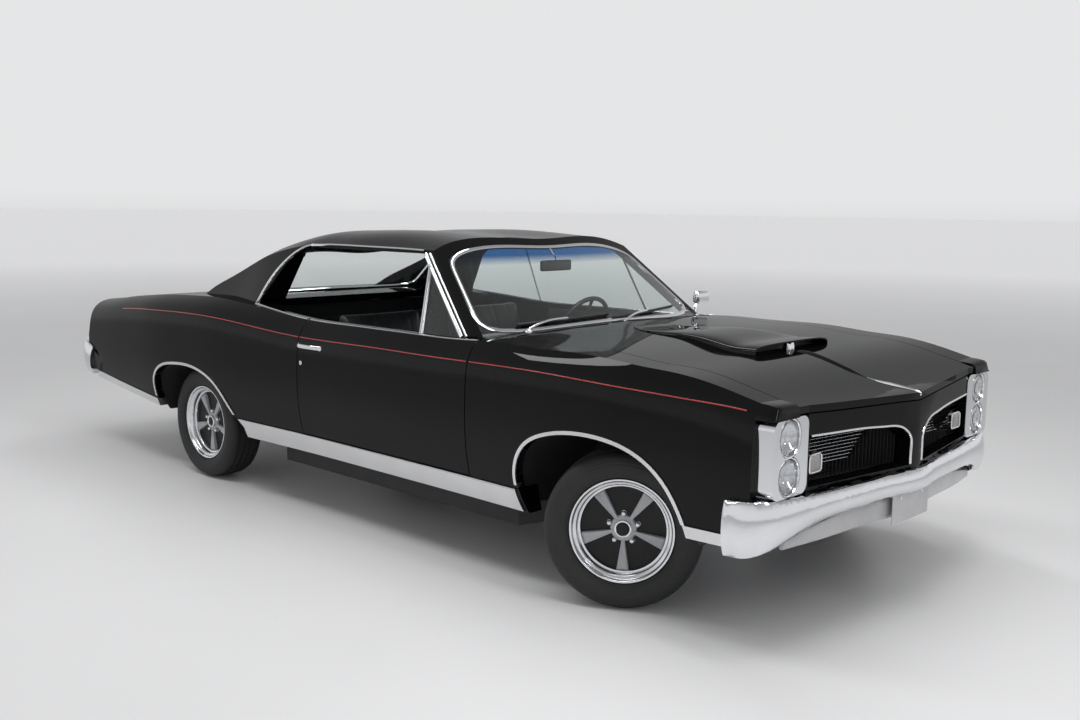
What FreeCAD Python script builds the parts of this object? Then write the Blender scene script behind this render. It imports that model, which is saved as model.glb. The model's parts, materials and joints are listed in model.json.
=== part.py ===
import FreeCAD
import Part
import Sketcher
import math
import os

# Two-door hardtop muscle car with a recessed rear window, stacked headlamps and a split grille.
# Frame: origin on the ground under the middle of the car, +X forward, +Y left, +Z up. Millimetres.

doc = FreeCAD.newDocument("MuscleCar")
sheet = doc.addObject("Spreadsheet::Sheet", "Sizes")

SIZES = {
    # Overall
    "overall_length": 5248.0,
    "wheelbase": 2921.0,
    "front_overhang": 858.0,
    "body_width": 1890.0,
    "belt_height": 955.0,
    "roof_height": 1380.0,
    "panel_gap": 5.0,
    "cut_margin": 400.0,
    "seat_clearance": 0.3,
    # Body shell
    "sheet_wall": 34.0,
    "sill_height": 300.0,
    "door_bottom": 404.0,
    "door_front": 700.0,
    "door_rear": 1905.0,
    "door_thickness": 128.0,
    "door_rear_slant": 22.0,
    "cowl_front": 645.0,
    "firewall_place": 690.0,
    "cowl_rear": 870.0,
    "quarter_wall_rear": 2330.0,
    "hood_half_width": 715.0,
    "hood_thickness": 26.0,
    "nose_split": 655.0,
    "nose_reach": 822.0,
    "nose_sweep": 95.0,
    "nose_wall": 60.0,
    "nose_base": 500.0,
    "scoop_front": 268.0,
    "scoop_length": 730.0,
    "scoop_half_width": 285.0,
    "scoop_rise": 40.0,
    "scoop_lip": 9.0,
    "scoop_bed": 0.6,
    "scoop_pocket": 150.0,
    "deck_front": 2560.0,
    "tunnel_half": 604.0,
    "rocker_top": 300.0,
    "fender_base": 418.0,
    "rear_base": 372.0,
    "rear_base_rise": 110.0,
    "lid_front": 3240.0,
    "lid_rear": 4105.0,
    "lid_half_width": 690.0,
    "tail_reach": 4235.0,
    "tail_lean": 105.0,
    "tail_panel_depth": 40.0,
    "tail_base": 455.0,
    # Wheel arches
    "front_arch_reach": 386.0,
    "front_arch_top": 674.0,
    "rear_arch_reach": 372.0,
    "rear_arch_top": 634.0,
    "arch_trim_width": 15.0,
    "trim_proud": 6.0,
    "front_wing_rear": 586.0,
    "rear_strip_height": 42.0,
    "house_wall": 8.0,
    "house_wall_base": 480.0,
    "rear_house_inner": 560.0,
    "front_house_inner": 428.0,
    # Roof, pillars and glass
    "rail_height": 1316.0,
    "rail_half_width": 668.0,
    "belt_half_width": 822.0,
    "roof_wall": 36.0,
    "glass_thickness": 6.0,
    "glass_inset": 14.0,
    "screen_base_half": 700.0,
    "screen_top_height": 1314.0,
    "screen_base_height": 985.0,
    "screen_top_place": 1190.0,
    "screen_base_place": 778.0,
    "screen_bow": 85.0,
    "back_top_height": 1290.0,
    "back_base_height": 990.0,
    "back_top_place": 2500.0,
    "back_base_place": 2850.0,
    "back_bow": 30.0,
    "vent_post_place": 1110.0,
    "vent_post_lean": 95.0,
    "window_rear": 2473.0,
    "window_top_rear": 2150.0,
    "window_top_height": 1298.0,
    # Lamps and grille
    "bezel_inner": 650.0,
    "bezel_outer": 866.0,
    "bezel_top": 829.0,
    "bezel_base": 559.0,
    "bezel_face": 730.0,
    "bezel_depth": 70.0,
    "lamp_radius": 70.0,
    "lamp_depth": 40.0,
    "lamp_sink": 16.0,
    "upper_lamp_height": 762.0,
    "lower_lamp_height": 629.0,
    "lamp_out": 765.0,
    "divider_half": 46.0,
    "grille_outer": 640.0,
    "grille_base": 572.0,
    "grille_top": 752.0,
    "grille_place": 668.0,
    "grille_bar": 6.0,
    "grille_bars": 9.0,
    "park_lamp_out": 560.0,
    "park_lamp_height": 648.0,
    "park_lamp_radius": 38.0,
    # Bumpers
    "bumper_thickness": 30.0,
    "bumper_bulge": 16.0,
    "valance_bulge": 3.0,
    "valance_base": 372.0,
    "plate_bolt_spacing": 178.0,
    "plate_bolt_radius": 3.5,
    # Wheels
    "tyre_radius": 306.0,
    "tyre_width": 205.0,
    "ring_radius": 203.0,
    "bead_radius": 186.0,
    "barrel_radius": 172.0,
    "rim_width": 168.0,
    "disc_recess": 57.0,
    "disc_thickness": 12.0,
    "front_track": 1473.0,
    "rear_track": 1499.0,
    "hub_radius": 76.0,
    "cap_radius": 27.0,
    "lug_radius": 10.0,
    "lug_length": 24.0,
    "lug_circle_radius": 58.0,
    "spoke_width": 46.0,
    "spindle_radius": 16.0,
    "steer_angle": 30.6,
    # Chassis
    "rail_width": 64.0,
    "rail_depth": 96.0,
    "front_rail_half": 380.0,
    "side_rail_half": 640.0,
    "rear_rail_half": 470.0,
    "tank_half_width": 290.0,
    "tank_drop": 60.0,
    "radiator_place": 540.0,
    "radiator_depth": 50.0,
    "pipe_out": 340.0,
    "pipe_radius": 28.0,
    "muffler_length": 420.0,
    "muffler_width": 210.0,
    "muffler_height": 86.0,
    "axle_radius": 38.0,
    "carrier_radius": 135.0,
    "kingpin_radius": 18.0,
    "kingpin_place": 12.0,
    "kingpin_half": 125.0,
    "arm_thickness": 12.0,
    "arm_spread": 80.0,
    "arm_tip_half": 20.0,
    "arm_tip_reach": 5.0,
    "tower_lip": 10.0,
    "spring_radius": 46.0,
    "buffer_radius": 12.0,
    "hinge_ledge": 30.0,
    "slot_depth": 12.0,
    "lens_proud": 2.0,
    "drum_radius": 118.0,
    "drum_width": 52.0,
    "floor_height": 300.0,
    "floor_thickness": 12.0,
    "tunnel_radius": 150.0,
    "engine_length": 640.0,
    "engine_width": 540.0,
    "engine_depth": 560.0,
    "engine_rear": 620.0,
    "shaft_radius": 40.0,
    # Cabin
    "seat_width": 540.0,
    "seat_spacing": 370.0,
    "steering_radius": 195.0,
    "steering_rim": 12.0,
    "column_angle": 24.0,
    "column_radius": 26.0,
    "column_length": 330.0,
    "seat_front": 1290.0,
    "seat_hip": 1790.0,
    "cushion_height": 250.0,
    "back_lean": 130.0,
    "back_depth": 130.0,
    "back_top": 985.0,
    "rear_seat_hip": 2480.0,
    "rear_cushion_length": 400.0,
    "rear_back_top": 900.0,
    "dash_rear": 1040.0,
    "steering_place": 1210.0,
    "steering_height": 880.0,
}

for row, (alias, value) in enumerate(SIZES.items(), start=1):
    sheet.set("A%d" % row, alias)
    sheet.set("B%d" % row, repr(value))
    sheet.setAlias("B%d" % row, alias)
doc.recompute()


def size(alias):
    """Read one driving dimension from the sheet."""
    return float(sheet.get(alias))


class Cell:
    """A length together with the sheet expression that gives it."""

    def __init__(self, value, text):
        self.value = value
        self.text = text

    @staticmethod
    def read(item):
        return item if isinstance(item, Cell) else Cell(float(item), repr(item))

    def __add__(self, other):
        other = Cell.read(other)
        return Cell(self.value + other.value, "(%s + %s)" % (self.text, other.text))

    def __sub__(self, other):
        other = Cell.read(other)
        return Cell(self.value - other.value, "(%s - %s)" % (self.text, other.text))

    def __mul__(self, other):
        other = Cell.read(other)
        return Cell(self.value * other.value, "(%s * %s)" % (self.text, other.text))

    def __truediv__(self, other):
        other = Cell.read(other)
        return Cell(self.value / other.value, "(%s / %s)" % (self.text, other.text))

    def __neg__(self):
        return Cell(-self.value, "(-%s)" % self.text)


def cell(alias):
    """One driving dimension, for objects that are bound to the sheet."""
    return Cell(size(alias), "Sizes." + alias)


FRONT_AXLE = size("overall_length") / 2 - size("front_overhang")
WHEELBASE = size("wheelbase")
REAR_AXLE = FRONT_AXLE - WHEELBASE
HALF = size("body_width") / 2
BELT = size("belt_height")
GAP = size("panel_gap")
HUB_Z = size("tyre_radius")
WALL = size("sheet_wall")
CLEAR = size("seat_clearance")
WIDE = HALF + size("cut_margin")
SKY = size("roof_height") + size("cut_margin")
DEEP = -size("cut_margin")
nodes = []


def vec(x, y, z):
    return FreeCAD.Vector(x, y, z)


def behind(distance):
    """The place that far behind the front axle."""
    return FRONT_AXLE - distance


def keep(piece):
    """Keep one finished object as a piece of the car."""
    nodes.append(piece)
    return piece


def node(name, shape):
    """Add one finished shape to the document under its own label."""
    piece = doc.addObject("Part::Feature", name)
    piece.Label = name
    piece.Shape = shape
    return keep(piece)


def placed(piece, x, y, z, axis=None):
    """Turn an object's own Z along an axis and bind its place to the sheet."""
    if axis is not None:
        piece.Placement = FreeCAD.Placement(vec(0, 0, 0), FreeCAD.Rotation(vec(0, 0, 1), axis))
    for key, place in (("x", x), ("y", y), ("z", z)):
        piece.setExpression("Placement.Base." + key, Cell.read(place).text)
    return piece


def bound(kind, name, **lengths):
    """A primitive whose sizes are bound to the sheet."""
    piece = doc.addObject("Part::" + kind, name)
    for key, length in lengths.items():
        piece.setExpression(key, length.text)
    return piece


def bound_block(name, x0, x1, y0, y1, z0, z1):
    """A bound upright box between two corners."""
    return placed(bound("Box", name, Length=x1 - x0, Width=y1 - y0, Height=z1 - z0), x0, y0, z0)


def bound_rod(name, start, axis, length, radius):
    """A bound round bar from a place along an axis."""
    return placed(bound("Cylinder", name, Radius=radius, Height=length), *start, axis)


def bound_fuse(name, pieces):
    """Objects joined into one."""
    piece = doc.addObject("Part::MultiFuse", name)
    piece.Shapes = pieces
    piece.Refine = True
    return piece


def bound_cut(name, base, tool):
    """An object with the room of another cut from it."""
    piece = doc.addObject("Part::Cut", name)
    piece.Base = base
    piece.Tool = tool
    return piece


def bound_mirror(name, source):
    """The same object on the other side of the car."""
    piece = doc.addObject("Part::Mirroring", name)
    piece.Source = source
    piece.Normal = vec(0, 1, 0)
    return piece


def bound_group(name, pieces):
    """Objects kept apart as one compound."""
    piece = doc.addObject("Part::Compound", name)
    piece.Links = pieces
    return piece


def bound_sketch(body, name, plane, corners):
    """A closed outline in a body, each corner bound; a third item is a point that the next edge bends through."""
    sketch = body.newObject("Sketcher::SketchObject", name)
    support = next(origin for origin in body.Origin.OriginFeatures if origin.Role == plane + "_Plane")
    sketch.AttachmentSupport = (support, [""])
    sketch.MapMode = "FlatFace"
    flat = [[vec(u.value, v.value, 0) for u, v in corner] for corner in corners]
    count = len(corners)
    firsts = []
    for i, corner in enumerate(flat):
        start, end = corner[0], flat[(i + 1) % count][0]
        edge = Part.Arc(start, corner[1], end) if len(corner) > 1 else Part.LineSegment(start, end)
        sketch.addGeometry(edge, False)
        ends = [(sketch.getPoint(i, position) - start).Length for position in (1, 2)]
        firsts.append(1 if ends[0] < ends[1] else 2)
    for i in range(count):
        after = (i + 1) % count
        sketch.addConstraint(Sketcher.Constraint("Coincident", i, 3 - firsts[i], after, firsts[after]))
    for i, corner in enumerate(corners):
        pin(sketch, i, firsts[i], corner[0])
        if len(corner) > 1:
            bend = sketch.addGeometry(Part.Point(flat[i][1]), True)
            sketch.addConstraint(Sketcher.Constraint("PointOnObject", bend, 1, i))
            pin(sketch, bend, 1, corner[1])
    return sketch


def pin(sketch, edge, end, place):
    """Bind both places of a sketch point to the sheet."""
    for kind, axis, way in (("DistanceX", -2, place[0]), ("DistanceY", -1, place[1])):
        if way.value:
            index = sketch.addConstraint(Sketcher.Constraint(kind, -1, 1, edge, end, way.value))
            sketch.setExpression("Constraints[%d]" % index, way.text)
        else:
            sketch.addConstraint(Sketcher.Constraint("PointOnObject", edge, end, axis))


def revolved(body, name, corners):
    """An outline of (radius, along) turned about the body's Y axis."""
    turn = body.newObject("PartDesign::Revolution", name)
    turn.Profile = bound_sketch(body, name + "_outline", "XY", corners)
    turn.ReferenceAxis = (turn.Profile[0], ["V_Axis"])
    turn.Angle = 360
    return turn


def padded(body, name, corners, low, high):
    """An outline in the body's (x, z) pushed along Y from a low to a high place."""
    pad = body.newObject("PartDesign::Pad", name)
    pad.Profile = bound_sketch(body, name + "_outline", "XZ", corners)
    pad.Profile[0].setExpression(".AttachmentOffset.Base.z", (-high).text)
    pad.setExpression("Length", (high - low).text)
    return pad


def patterned(body, name, pad, count):
    """A padded feature repeated round the body's Y axis."""
    pattern = body.newObject("PartDesign::PolarPattern", name)
    pattern.Originals = [pad]
    pattern.Axis = (pad.Profile[0], ["N_Axis"])
    pattern.Angle = 360
    pattern.Occurrences = count
    body.Tip = pattern
    return pattern


def mirrored(shape):
    """The same shape on the other side of the car."""
    return shape.mirror(vec(0, 0, 0), vec(0, 1, 0))


def both(shape):
    """The shape and its mirror image as one compound of separate solids."""
    return Part.makeCompound([shape, mirrored(shape)])


def block(x0, x1, y0, y1, z0, z1):
    """An upright box between two corners."""
    return Part.makeBox(x1 - x0, y1 - y0, z1 - z0, vec(x0, y0, z0))


def rod(start, end, radius):
    """A round bar between two points."""
    return Part.makeCylinder(radius, (end - start).Length, start, end - start)


def curve(points):
    """A smooth edge through the points."""
    spline = Part.BSplineCurve()
    spline.interpolate(points)
    return spline.toShape()


def straight(a, b):
    return Part.LineSegment(a, b).toShape()


def slab(points, direction):
    """A closed outline pushed along one direction."""
    return Part.Face(Part.makePolygon(points + points[:1])).extrude(direction)


def side_slab(outline, y0, y1):
    """A side view outline of (x, z) points as a prism from y0 to y1."""
    return slab([vec(x, y0, z) for x, z in outline], vec(0, y1 - y0, 0))


def plan_slab(outline, z0, z1):
    """A plan outline of (x, y) points as a prism from z0 to z1."""
    return slab([vec(x, y, z0) for x, y in outline], vec(0, 0, z1 - z0))


def front_slab(outline, x0, x1):
    """A front view outline of (y, z) points as a prism from x0 to x1."""
    return slab([vec(x0, y, z) for y, z in outline], vec(x1 - x0, 0, 0))


def fused(shapes):
    """All the shapes joined into one."""
    return shapes[0].multiFuse(shapes[1:]).removeSplitter()


def smooth_row(table, along):
    """A row of the table at a place between its rows, on monotone cubic curves."""
    row = [along]
    places = [entry[0] for entry in table]
    span = max(i for i in range(len(table) - 1) if places[i] <= along or i == 0)
    width = places[span + 1] - places[span]
    part = (along - places[span]) / width
    for column in range(1, len(table[0])):
        values = [entry[column] for entry in table]
        steps = [places[i + 1] - places[i] for i in range(len(table) - 1)]
        slopes = [(values[i + 1] - values[i]) / steps[i] for i in range(len(table) - 1)]
        tangents = [slopes[0]]
        for before, after in zip(slopes, slopes[1:]):
            same_way = before * after > 0
            tangents.append(2 * before * after / (before + after) if same_way else 0)
        tangents.append(slopes[-1])
        start, end = values[span], values[span + 1]
        a = (2 * part ** 3 - 3 * part ** 2 + 1) * start
        b = (part ** 3 - 2 * part ** 2 + part) * width * tangents[span]
        c = (3 * part ** 2 - 2 * part ** 3) * end
        d = (part ** 3 - part ** 2) * width * tangents[span + 1]
        row.append(a + b + c + d)
    return row


def stations(table, count):
    """Evenly spaced rows along the whole table."""
    first, last = table[0][0], table[-1][0]
    return [smooth_row(table, first + (last - first) * i / (count - 1)) for i in range(count)]


# The body below the belt. Each row: shares of the wheelbase behind the front axle, of the half
# width at the widest and at the shoulder, and of the belt height at the shoulder and the centre.
BODY_SHARES = [
    (-0.310, 0.920, 0.880, 0.860, 0.835),
    (-0.250, 0.935, 0.890, 0.900, 0.880),
    (-0.200, 0.948, 0.898, 0.950, 0.935),
    (-0.100, 0.968, 0.905, 0.990, 0.985),
    (0.050, 0.985, 0.908, 1.015, 1.022),
    (0.230, 0.975, 0.902, 1.012, 1.036),
    (0.300, 0.972, 0.900, 1.002, 1.010),
    (0.620, 0.968, 0.895, 1.000, 1.008),
    (0.780, 0.982, 0.885, 1.030, 1.034),
    (0.950, 1.000, 0.865, 1.056, 1.058),
    (1.100, 0.998, 0.845, 1.042, 1.044),
    (1.250, 0.972, 0.825, 1.008, 1.012),
    (1.380, 0.940, 0.798, 0.965, 0.972),
    (1.470, 0.915, 0.775, 0.935, 0.945),
]
BODY_STATIONS = 24
# The flank from the sill to the shoulder: shares of that height and of the width there.
FLANK_SHARES = [(0.0, 0.925), (0.10, 0.955), (0.25, 0.982), (0.50, 1.0), (0.72, 0.998), (0.87, 0.985)]
CROWN_BOW_SHARE = 0.55


def body_section(station, inset):
    """The closed cross section of the body at one station, inset all round."""
    along, width_share, shoulder_share, shoulder_height_share, centre_share = station
    x = behind(along * WHEELBASE)
    width = width_share * HALF - inset
    shoulder_y = shoulder_share * HALF - inset
    shoulder_z = shoulder_height_share * BELT - inset
    centre_z = centre_share * BELT - inset
    low = size("sill_height") + inset
    flank = [vec(x, width * out, low + (shoulder_z - low) * up) for up, out in FLANK_SHARES]
    flank.append(vec(x, shoulder_y, shoulder_z))
    bow_y = shoulder_y * CROWN_BOW_SHARE
    bow_z = shoulder_z + (centre_z - shoulder_z) * (1 - CROWN_BOW_SHARE ** 2)
    left = curve(flank)
    right = curve([vec(p.x, -p.y, p.z) for p in reversed(flank)])
    crown = curve([flank[-1], vec(x, bow_y, bow_z), vec(x, 0, centre_z), vec(x, -bow_y, bow_z),
                   vec(x, -shoulder_y, shoulder_z)])
    floor = straight(vec(x, -flank[0].y, low), flank[0])
    return Part.Wire([left, crown, right, floor])


def body_loft(inset):
    """The whole lower body as one closed solid, inset all round."""
    sections = [body_section(station, inset) for station in stations(BODY_SHARES, BODY_STATIONS)]
    return Part.makeLoft(sections, True, False)


# The roof, pillars and sail panels. Each row: shares of the wheelbase behind the front axle, of the
# belt half width, of the rail half width, of the rail height and of the roof height.
CABIN_SHARES = [
    (0.180, 1.000, 0.985, 0.985, 0.972),
    (0.400, 1.000, 1.000, 0.998, 0.985),
    (0.580, 1.000, 1.004, 1.002, 1.000),
    (0.740, 1.000, 1.000, 0.990, 0.990),
    (0.850, 0.990, 0.985, 0.950, 0.950),
    (0.950, 0.975, 0.970, 0.878, 0.880),
    (1.050, 0.955, 0.965, 0.798, 0.798),
    (1.130, 0.940, 0.962, 0.738, 0.730),
]
CABIN_STATIONS = 16
ROOF_EDGE_SHARE = 0.88
ROOF_EDGE_RISE_SHARE = 0.55


def cabin_section(station, inset):
    """The closed cross section of the roof and cabin at one station."""
    along, belt_share, rail_share, rail_height_share, roof_share = station
    x = behind(along * WHEELBASE)
    base_z = BELT - WALL
    rail_y = rail_share * size("rail_half_width") - inset
    rail_z = rail_height_share * size("rail_height") - inset
    roof_z = roof_share * size("roof_height") - inset
    belt_y = belt_share * size("belt_half_width") - inset
    lean = (belt_y - size("rail_half_width") + inset) / (size("rail_height") - BELT)
    base_y = rail_y + lean * (rail_z - base_z)
    edge_y = rail_y * ROOF_EDGE_SHARE
    edge_z = rail_z + (roof_z - rail_z) * ROOF_EDGE_RISE_SHARE
    left = straight(vec(x, base_y, base_z), vec(x, rail_y, rail_z))
    right = straight(vec(x, -rail_y, rail_z), vec(x, -base_y, base_z))
    top = curve([vec(x, rail_y, rail_z), vec(x, edge_y, edge_z), vec(x, 0, roof_z),
                 vec(x, -edge_y, edge_z), vec(x, -rail_y, rail_z)])
    floor = straight(vec(x, -base_y, base_z), vec(x, base_y, base_z))
    return Part.Wire([left, top, right, floor])


def cabin_loft(inset):
    """The roof and pillars as one closed solid, inset all round."""
    sections = [cabin_section(station, inset) for station in stations(CABIN_SHARES, CABIN_STATIONS)]
    return Part.makeLoft(sections, True, False)


# Wheel arches in side view: shares of the reach along and of the rise over the hub.
FRONT_ARCH_SHARES = [(0.98, -0.15), (1.02, 0.12), (0.96, 0.40), (0.80, 0.68), (0.52, 0.89), (0.15, 0.99),
                     (-0.20, 1.0), (-0.60, 0.93), (-0.92, 0.75), (-1.06, 0.45), (-1.04, 0.15), (-0.96, -0.15)]
REAR_ARCH_SHARES = [(1.30, 0.15), (1.04, 0.48), (0.80, 0.76), (0.45, 0.94), (0.05, 1.0), (-0.35, 0.98),
                    (-0.75, 0.88), (-0.97, 0.66), (-1.0, 0.40), (-0.96, 0.10), (-0.90, -0.15)]


def arch_prism(axle_x, reach, top, shares, grow, y0, y1):
    """The room inside a wheel arch, open to the ground, grown by an amount, as a prism across."""
    rise = top - HUB_Z
    points = []
    for along, up in shares:
        away = vec(along * reach, 0, up * rise)
        stretch = 1 + grow / away.Length
        points.append(vec(axle_x + away.x * stretch, y0, HUB_Z + away.z * stretch))
    first, last = points[0], points[-1]
    corner_a, corner_b = vec(last.x, y0, DEEP), vec(first.x, y0, DEEP)
    edges = [curve(points), straight(last, corner_a), straight(corner_a, corner_b), straight(corner_b, first)]
    return Part.Face(Part.Wire(edges)).extrude(vec(0, y1 - y0, 0))


def front_arch(grow, y0, y1):
    reach, top = size("front_arch_reach"), size("front_arch_top")
    return arch_prism(FRONT_AXLE, reach, top, FRONT_ARCH_SHARES, grow, y0, y1)


def rear_arch(grow, y0, y1):
    reach, top = size("rear_arch_reach"), size("rear_arch_top")
    return arch_prism(REAR_AXLE, reach, top, REAR_ARCH_SHARES, grow, y0, y1)


def leaning_cutter(levels, reach, direction):
    """All that lies on one side of a bowed leaning screen, as a ruled solid between two levels."""
    wires = []
    for x, bow, half, z in levels:
        corner_l, corner_r = vec(x, half, z), vec(x, -half, z)
        far_l, far_r = vec(x + direction * reach, half, z), vec(x + direction * reach, -half, z)
        arc = Part.Arc(corner_l, vec(x + bow, 0, z), corner_r).toShape()
        wires.append(Part.Wire([arc, straight(corner_r, far_r), straight(far_r, far_l), straight(far_l, corner_l)]))
    return Part.makeLoft(wires, True, True)


def screen_levels(top, base, bow, shift):
    """Two levels, well below and above a screen, each reaching past its sides."""
    (top_x, top_z), (base_x, base_z) = top, base
    slope = (top_x - base_x) / (top_z - base_z)
    low, high = base_z - size("cut_margin") / 4, top_z + size("cut_margin") / 4
    return [(base_x + slope * (z - base_z) + shift, bow, HALF, z) for z in (low, high)]


def windscreen_side(shift):
    """The room in front of the windscreen's outer face, moved by a shift."""
    top = (behind(size("screen_top_place")), size("screen_top_height"))
    base = (behind(size("screen_base_place")), size("screen_base_height"))
    widened = size("screen_bow") * (HALF / size("screen_base_half")) ** 2
    levels = screen_levels(top, base, widened, shift - (widened - size("screen_bow")))
    return leaning_cutter(levels, size("cut_margin") * 2, 1)


def backlight_side(shift):
    """The room behind the rear window's outer face, moved by a shift."""
    top = (behind(size("back_top_place")), size("back_top_height"))
    base = (behind(size("back_base_place")), size("back_base_height"))
    levels = screen_levels(top, base, -size("back_bow"), shift)
    return leaning_cutter(levels, size("cut_margin") * 2, -1)


outer = body_loft(0)
inner = body_loft(WALL)
inner_clear = body_loft(WALL + CLEAR)
cabin_outer = cabin_loft(0)
cabin_inner = cabin_loft(size("roof_wall"))
DOOR_SKIN_SHARE = 0.966
DOOR_INNER = HALF * DOOR_SKIN_SHARE - size("door_thickness")

# Chassis frame: two side members and crossmembers. Each row of a side member: shares of the wheelbase
# behind the front axle, the lane, and shares of the belt height and of the member's depth.
RAIL_SHARES = [(-0.2655, 0, 0.538, 0.84), (-0.205, 0, 0.40, 1.0), (-0.150, 0, 0.30, 1.0), (0.100, 0, 0.30, 1.0),
               (0.215, 1, 0.22, 1.0), (0.810, 1, 0.22, 1.0), (0.890, 2, 0.44, 1.0), (1.080, 2, 0.44, 1.0),
               (1.400, 2, 0.395, 1.0), (1.425, 2, 0.41, 1.0), (1.4893, 2, 0.56, 0.84)]
AXLE_ARCH_ROW = 6
rail_half = size("rail_width") / 2
lanes = (size("front_rail_half"), size("side_rail_half"), size("rear_rail_half"))


def side_member(grow):
    """The left side member, grown all round by an amount."""
    wires = []
    for along, lane, height_share, depth_share in RAIL_SHARES:
        x, y, z = behind(along * WHEELBASE), lanes[lane], height_share * BELT
        w, d = size("rail_width") / 2 + grow, size("rail_depth") / 2 * depth_share + grow
        corners = [vec(x, y - w, z - d), vec(x, y + w, z - d), vec(x, y + w, z + d), vec(x, y - w, z + d)]
        wires.append(Part.makePolygon(corners + corners[:1]))
    return Part.makeLoft(wires, True, True)


# Crossmembers: shares of the wheelbase behind the front axle, the lane, and shares of the belt height for
# the middle and the depth
CROSS_SHARES = [(-0.194, 0, 0.352, 0.067), (0.0, 0, 0.220, 0.067), (0.5, 1, 0.200, 0.067),
                (0.900, 2, 0.465, 0.050), (1.400, 2, 0.410, 0.067)]
NOSE_CROSS_ROW, ENGINE_CROSS_ROW, FLOOR_CROSS_ROW = 0, 1, 2
cross = []
for along, lane, height_share, depth_share in CROSS_SHARES:
    x, y, z = behind(along * WHEELBASE), lanes[lane], height_share * BELT
    w, d = size("rail_width") / 2, depth_share * BELT / 2
    cross.append(block(x - w, x + w, -y, y, z - d, z + d))


def cross_top(row):
    """The share of the belt height that a crossmember's top is at."""
    return CROSS_SHARES[row][2] + CROSS_SHARES[row][3] / 2


tower_half = size("arm_spread") + size("tower_lip")
tower_reach = size("kingpin_half") + size("arm_thickness") + size("tower_lip")
tower = block(FRONT_AXLE - tower_half, FRONT_AXLE + tower_half, size("front_rail_half") - rail_half,
              size("front_rail_half") + rail_half, HUB_Z - tower_reach, HUB_Z + tower_reach)
rail_room = side_member(CLEAR)
rail_room = rail_room.fuse(mirrored(rail_room))

# Bumpers: bars that wrap the corners of the car
def wrapped_bar(rows, thickness, bulge):
    """A bar lofted through rows of (x, y, facing in degrees, low, high), mirrored to the other side."""
    whole = rows + [(x, -y, -facing, low, high) for x, y, facing, low, high in reversed(rows) if y]
    wires = []
    for x, y, facing, low, high in whole:
        out = vec(math.cos(math.radians(facing)), math.sin(math.radians(facing)), 0)
        face = vec(x, y, 0)
        back = face - out * thickness
        mid = face + out * bulge
        a, c = vec(face.x, face.y, low), vec(face.x, face.y, high)
        d, e = vec(back.x, back.y, high), vec(back.x, back.y, low)
        front = Part.Arc(a, vec(mid.x, mid.y, (low + high) / 2), c).toShape()
        wires.append(Part.Wire([front, straight(c, d), straight(d, e), straight(e, a)]))
    return Part.makeLoft(wires, True, False)


def bumper_stations(reach, table, facing_sign, grow=0):
    """Stations in place: shares of the body's half width and of the belt height, from the middle out."""
    rows = []
    for setback_share, out_share, facing, low_share, high_share in table:
        x = facing_sign * (reach - setback_share * HALF)
        angle = facing if facing_sign > 0 else 180 - facing
        rows.append((x, out_share * HALF, angle, low_share * BELT - grow, high_share * BELT + grow))
    return list(reversed(rows))


# Each row from the middle out: shares of the half width for the setback and the place across, the facing
# in degrees, and shares of the belt height for the lower and the upper edge.
FRONT_BUMPER_SHARES = [(0.0, 0.0, 0, 0.492, 0.582), (0.022, 0.16, 6, 0.492, 0.582), (0.052, 0.42, 7, 0.488, 0.582),
                       (0.080, 0.68, 9, 0.474, 0.582), (0.100, 0.82, 16, 0.440, 0.583),
                       (0.130, 0.905, 36, 0.410, 0.584), (0.172, 0.952, 68, 0.388, 0.583),
                       (0.220, 0.968, 86, 0.379, 0.580), (0.278, 0.972, 90, 0.377, 0.578)]
REAR_BUMPER_SHARES = [(0.0, 0.0, 0, 0.503, 0.634), (0.003, 0.35, 2, 0.501, 0.636), (0.012, 0.65, 6, 0.495, 0.660),
                      (0.030, 0.82, 20, 0.492, 0.680), (0.075, 0.905, 52, 0.488, 0.682),
                      (0.140, 0.935, 82, 0.482, 0.672), (0.240, 0.948, 90, 0.470, 0.630)]
VALANCE_SHARES = [(0.050, 0.0, 0, 0.392, 0.474), (0.068, 0.16, 6, 0.392, 0.474), (0.098, 0.42, 7, 0.390, 0.468),
                  (0.125, 0.68, 9, 0.388, 0.440), (0.142, 0.80, 14, 0.388, 0.420)]
bumper_reach = size("overall_length") / 2 - size("bumper_bulge")
front_rows = bumper_stations(bumper_reach, FRONT_BUMPER_SHARES, 1)
rear_rows = bumper_stations(bumper_reach, REAR_BUMPER_SHARES, -1)


def plate_bolts(height):
    """Two bolt holes for a plate, right through the bars at the middle of the car."""
    half_spacing = size("plate_bolt_spacing") / 2
    far = FRONT_AXLE * 2
    ends = [(vec(-far, y, height), vec(far, y, height)) for y in (-half_spacing, half_spacing)]
    return fused([rod(start, end, size("plate_bolt_radius")) for start, end in ends])


front_bumper = wrapped_bar(front_rows, size("bumper_thickness"), size("bumper_bulge"))
rear_bumper = wrapped_bar(rear_rows, size("bumper_thickness"), size("bumper_bulge"))
rear_bumper = rear_bumper.cut(plate_bolts(REAR_BUMPER_SHARES[0][3] * BELT + WALL))
node("front_bumper", front_bumper)
node("rear_bumper", rear_bumper)
room_thickness, room_bulge = size("bumper_thickness") + CLEAR, WALL * 2
front_bumper_room = wrapped_bar(bumper_stations(bumper_reach, FRONT_BUMPER_SHARES, 1, CLEAR), room_thickness,
                                room_bulge)
rear_bumper_room = wrapped_bar(bumper_stations(bumper_reach, REAR_BUMPER_SHARES, -1, CLEAR), room_thickness,
                               room_bulge)
valance_rows = bumper_stations(bumper_reach, VALANCE_SHARES, 1)
valance = wrapped_bar(valance_rows, size("floor_thickness"), size("valance_bulge"))
node("front_valance", valance.cut(rail_room).cut(plate_bolts(VALANCE_SHARES[0][3] * BELT + WALL)))

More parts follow.
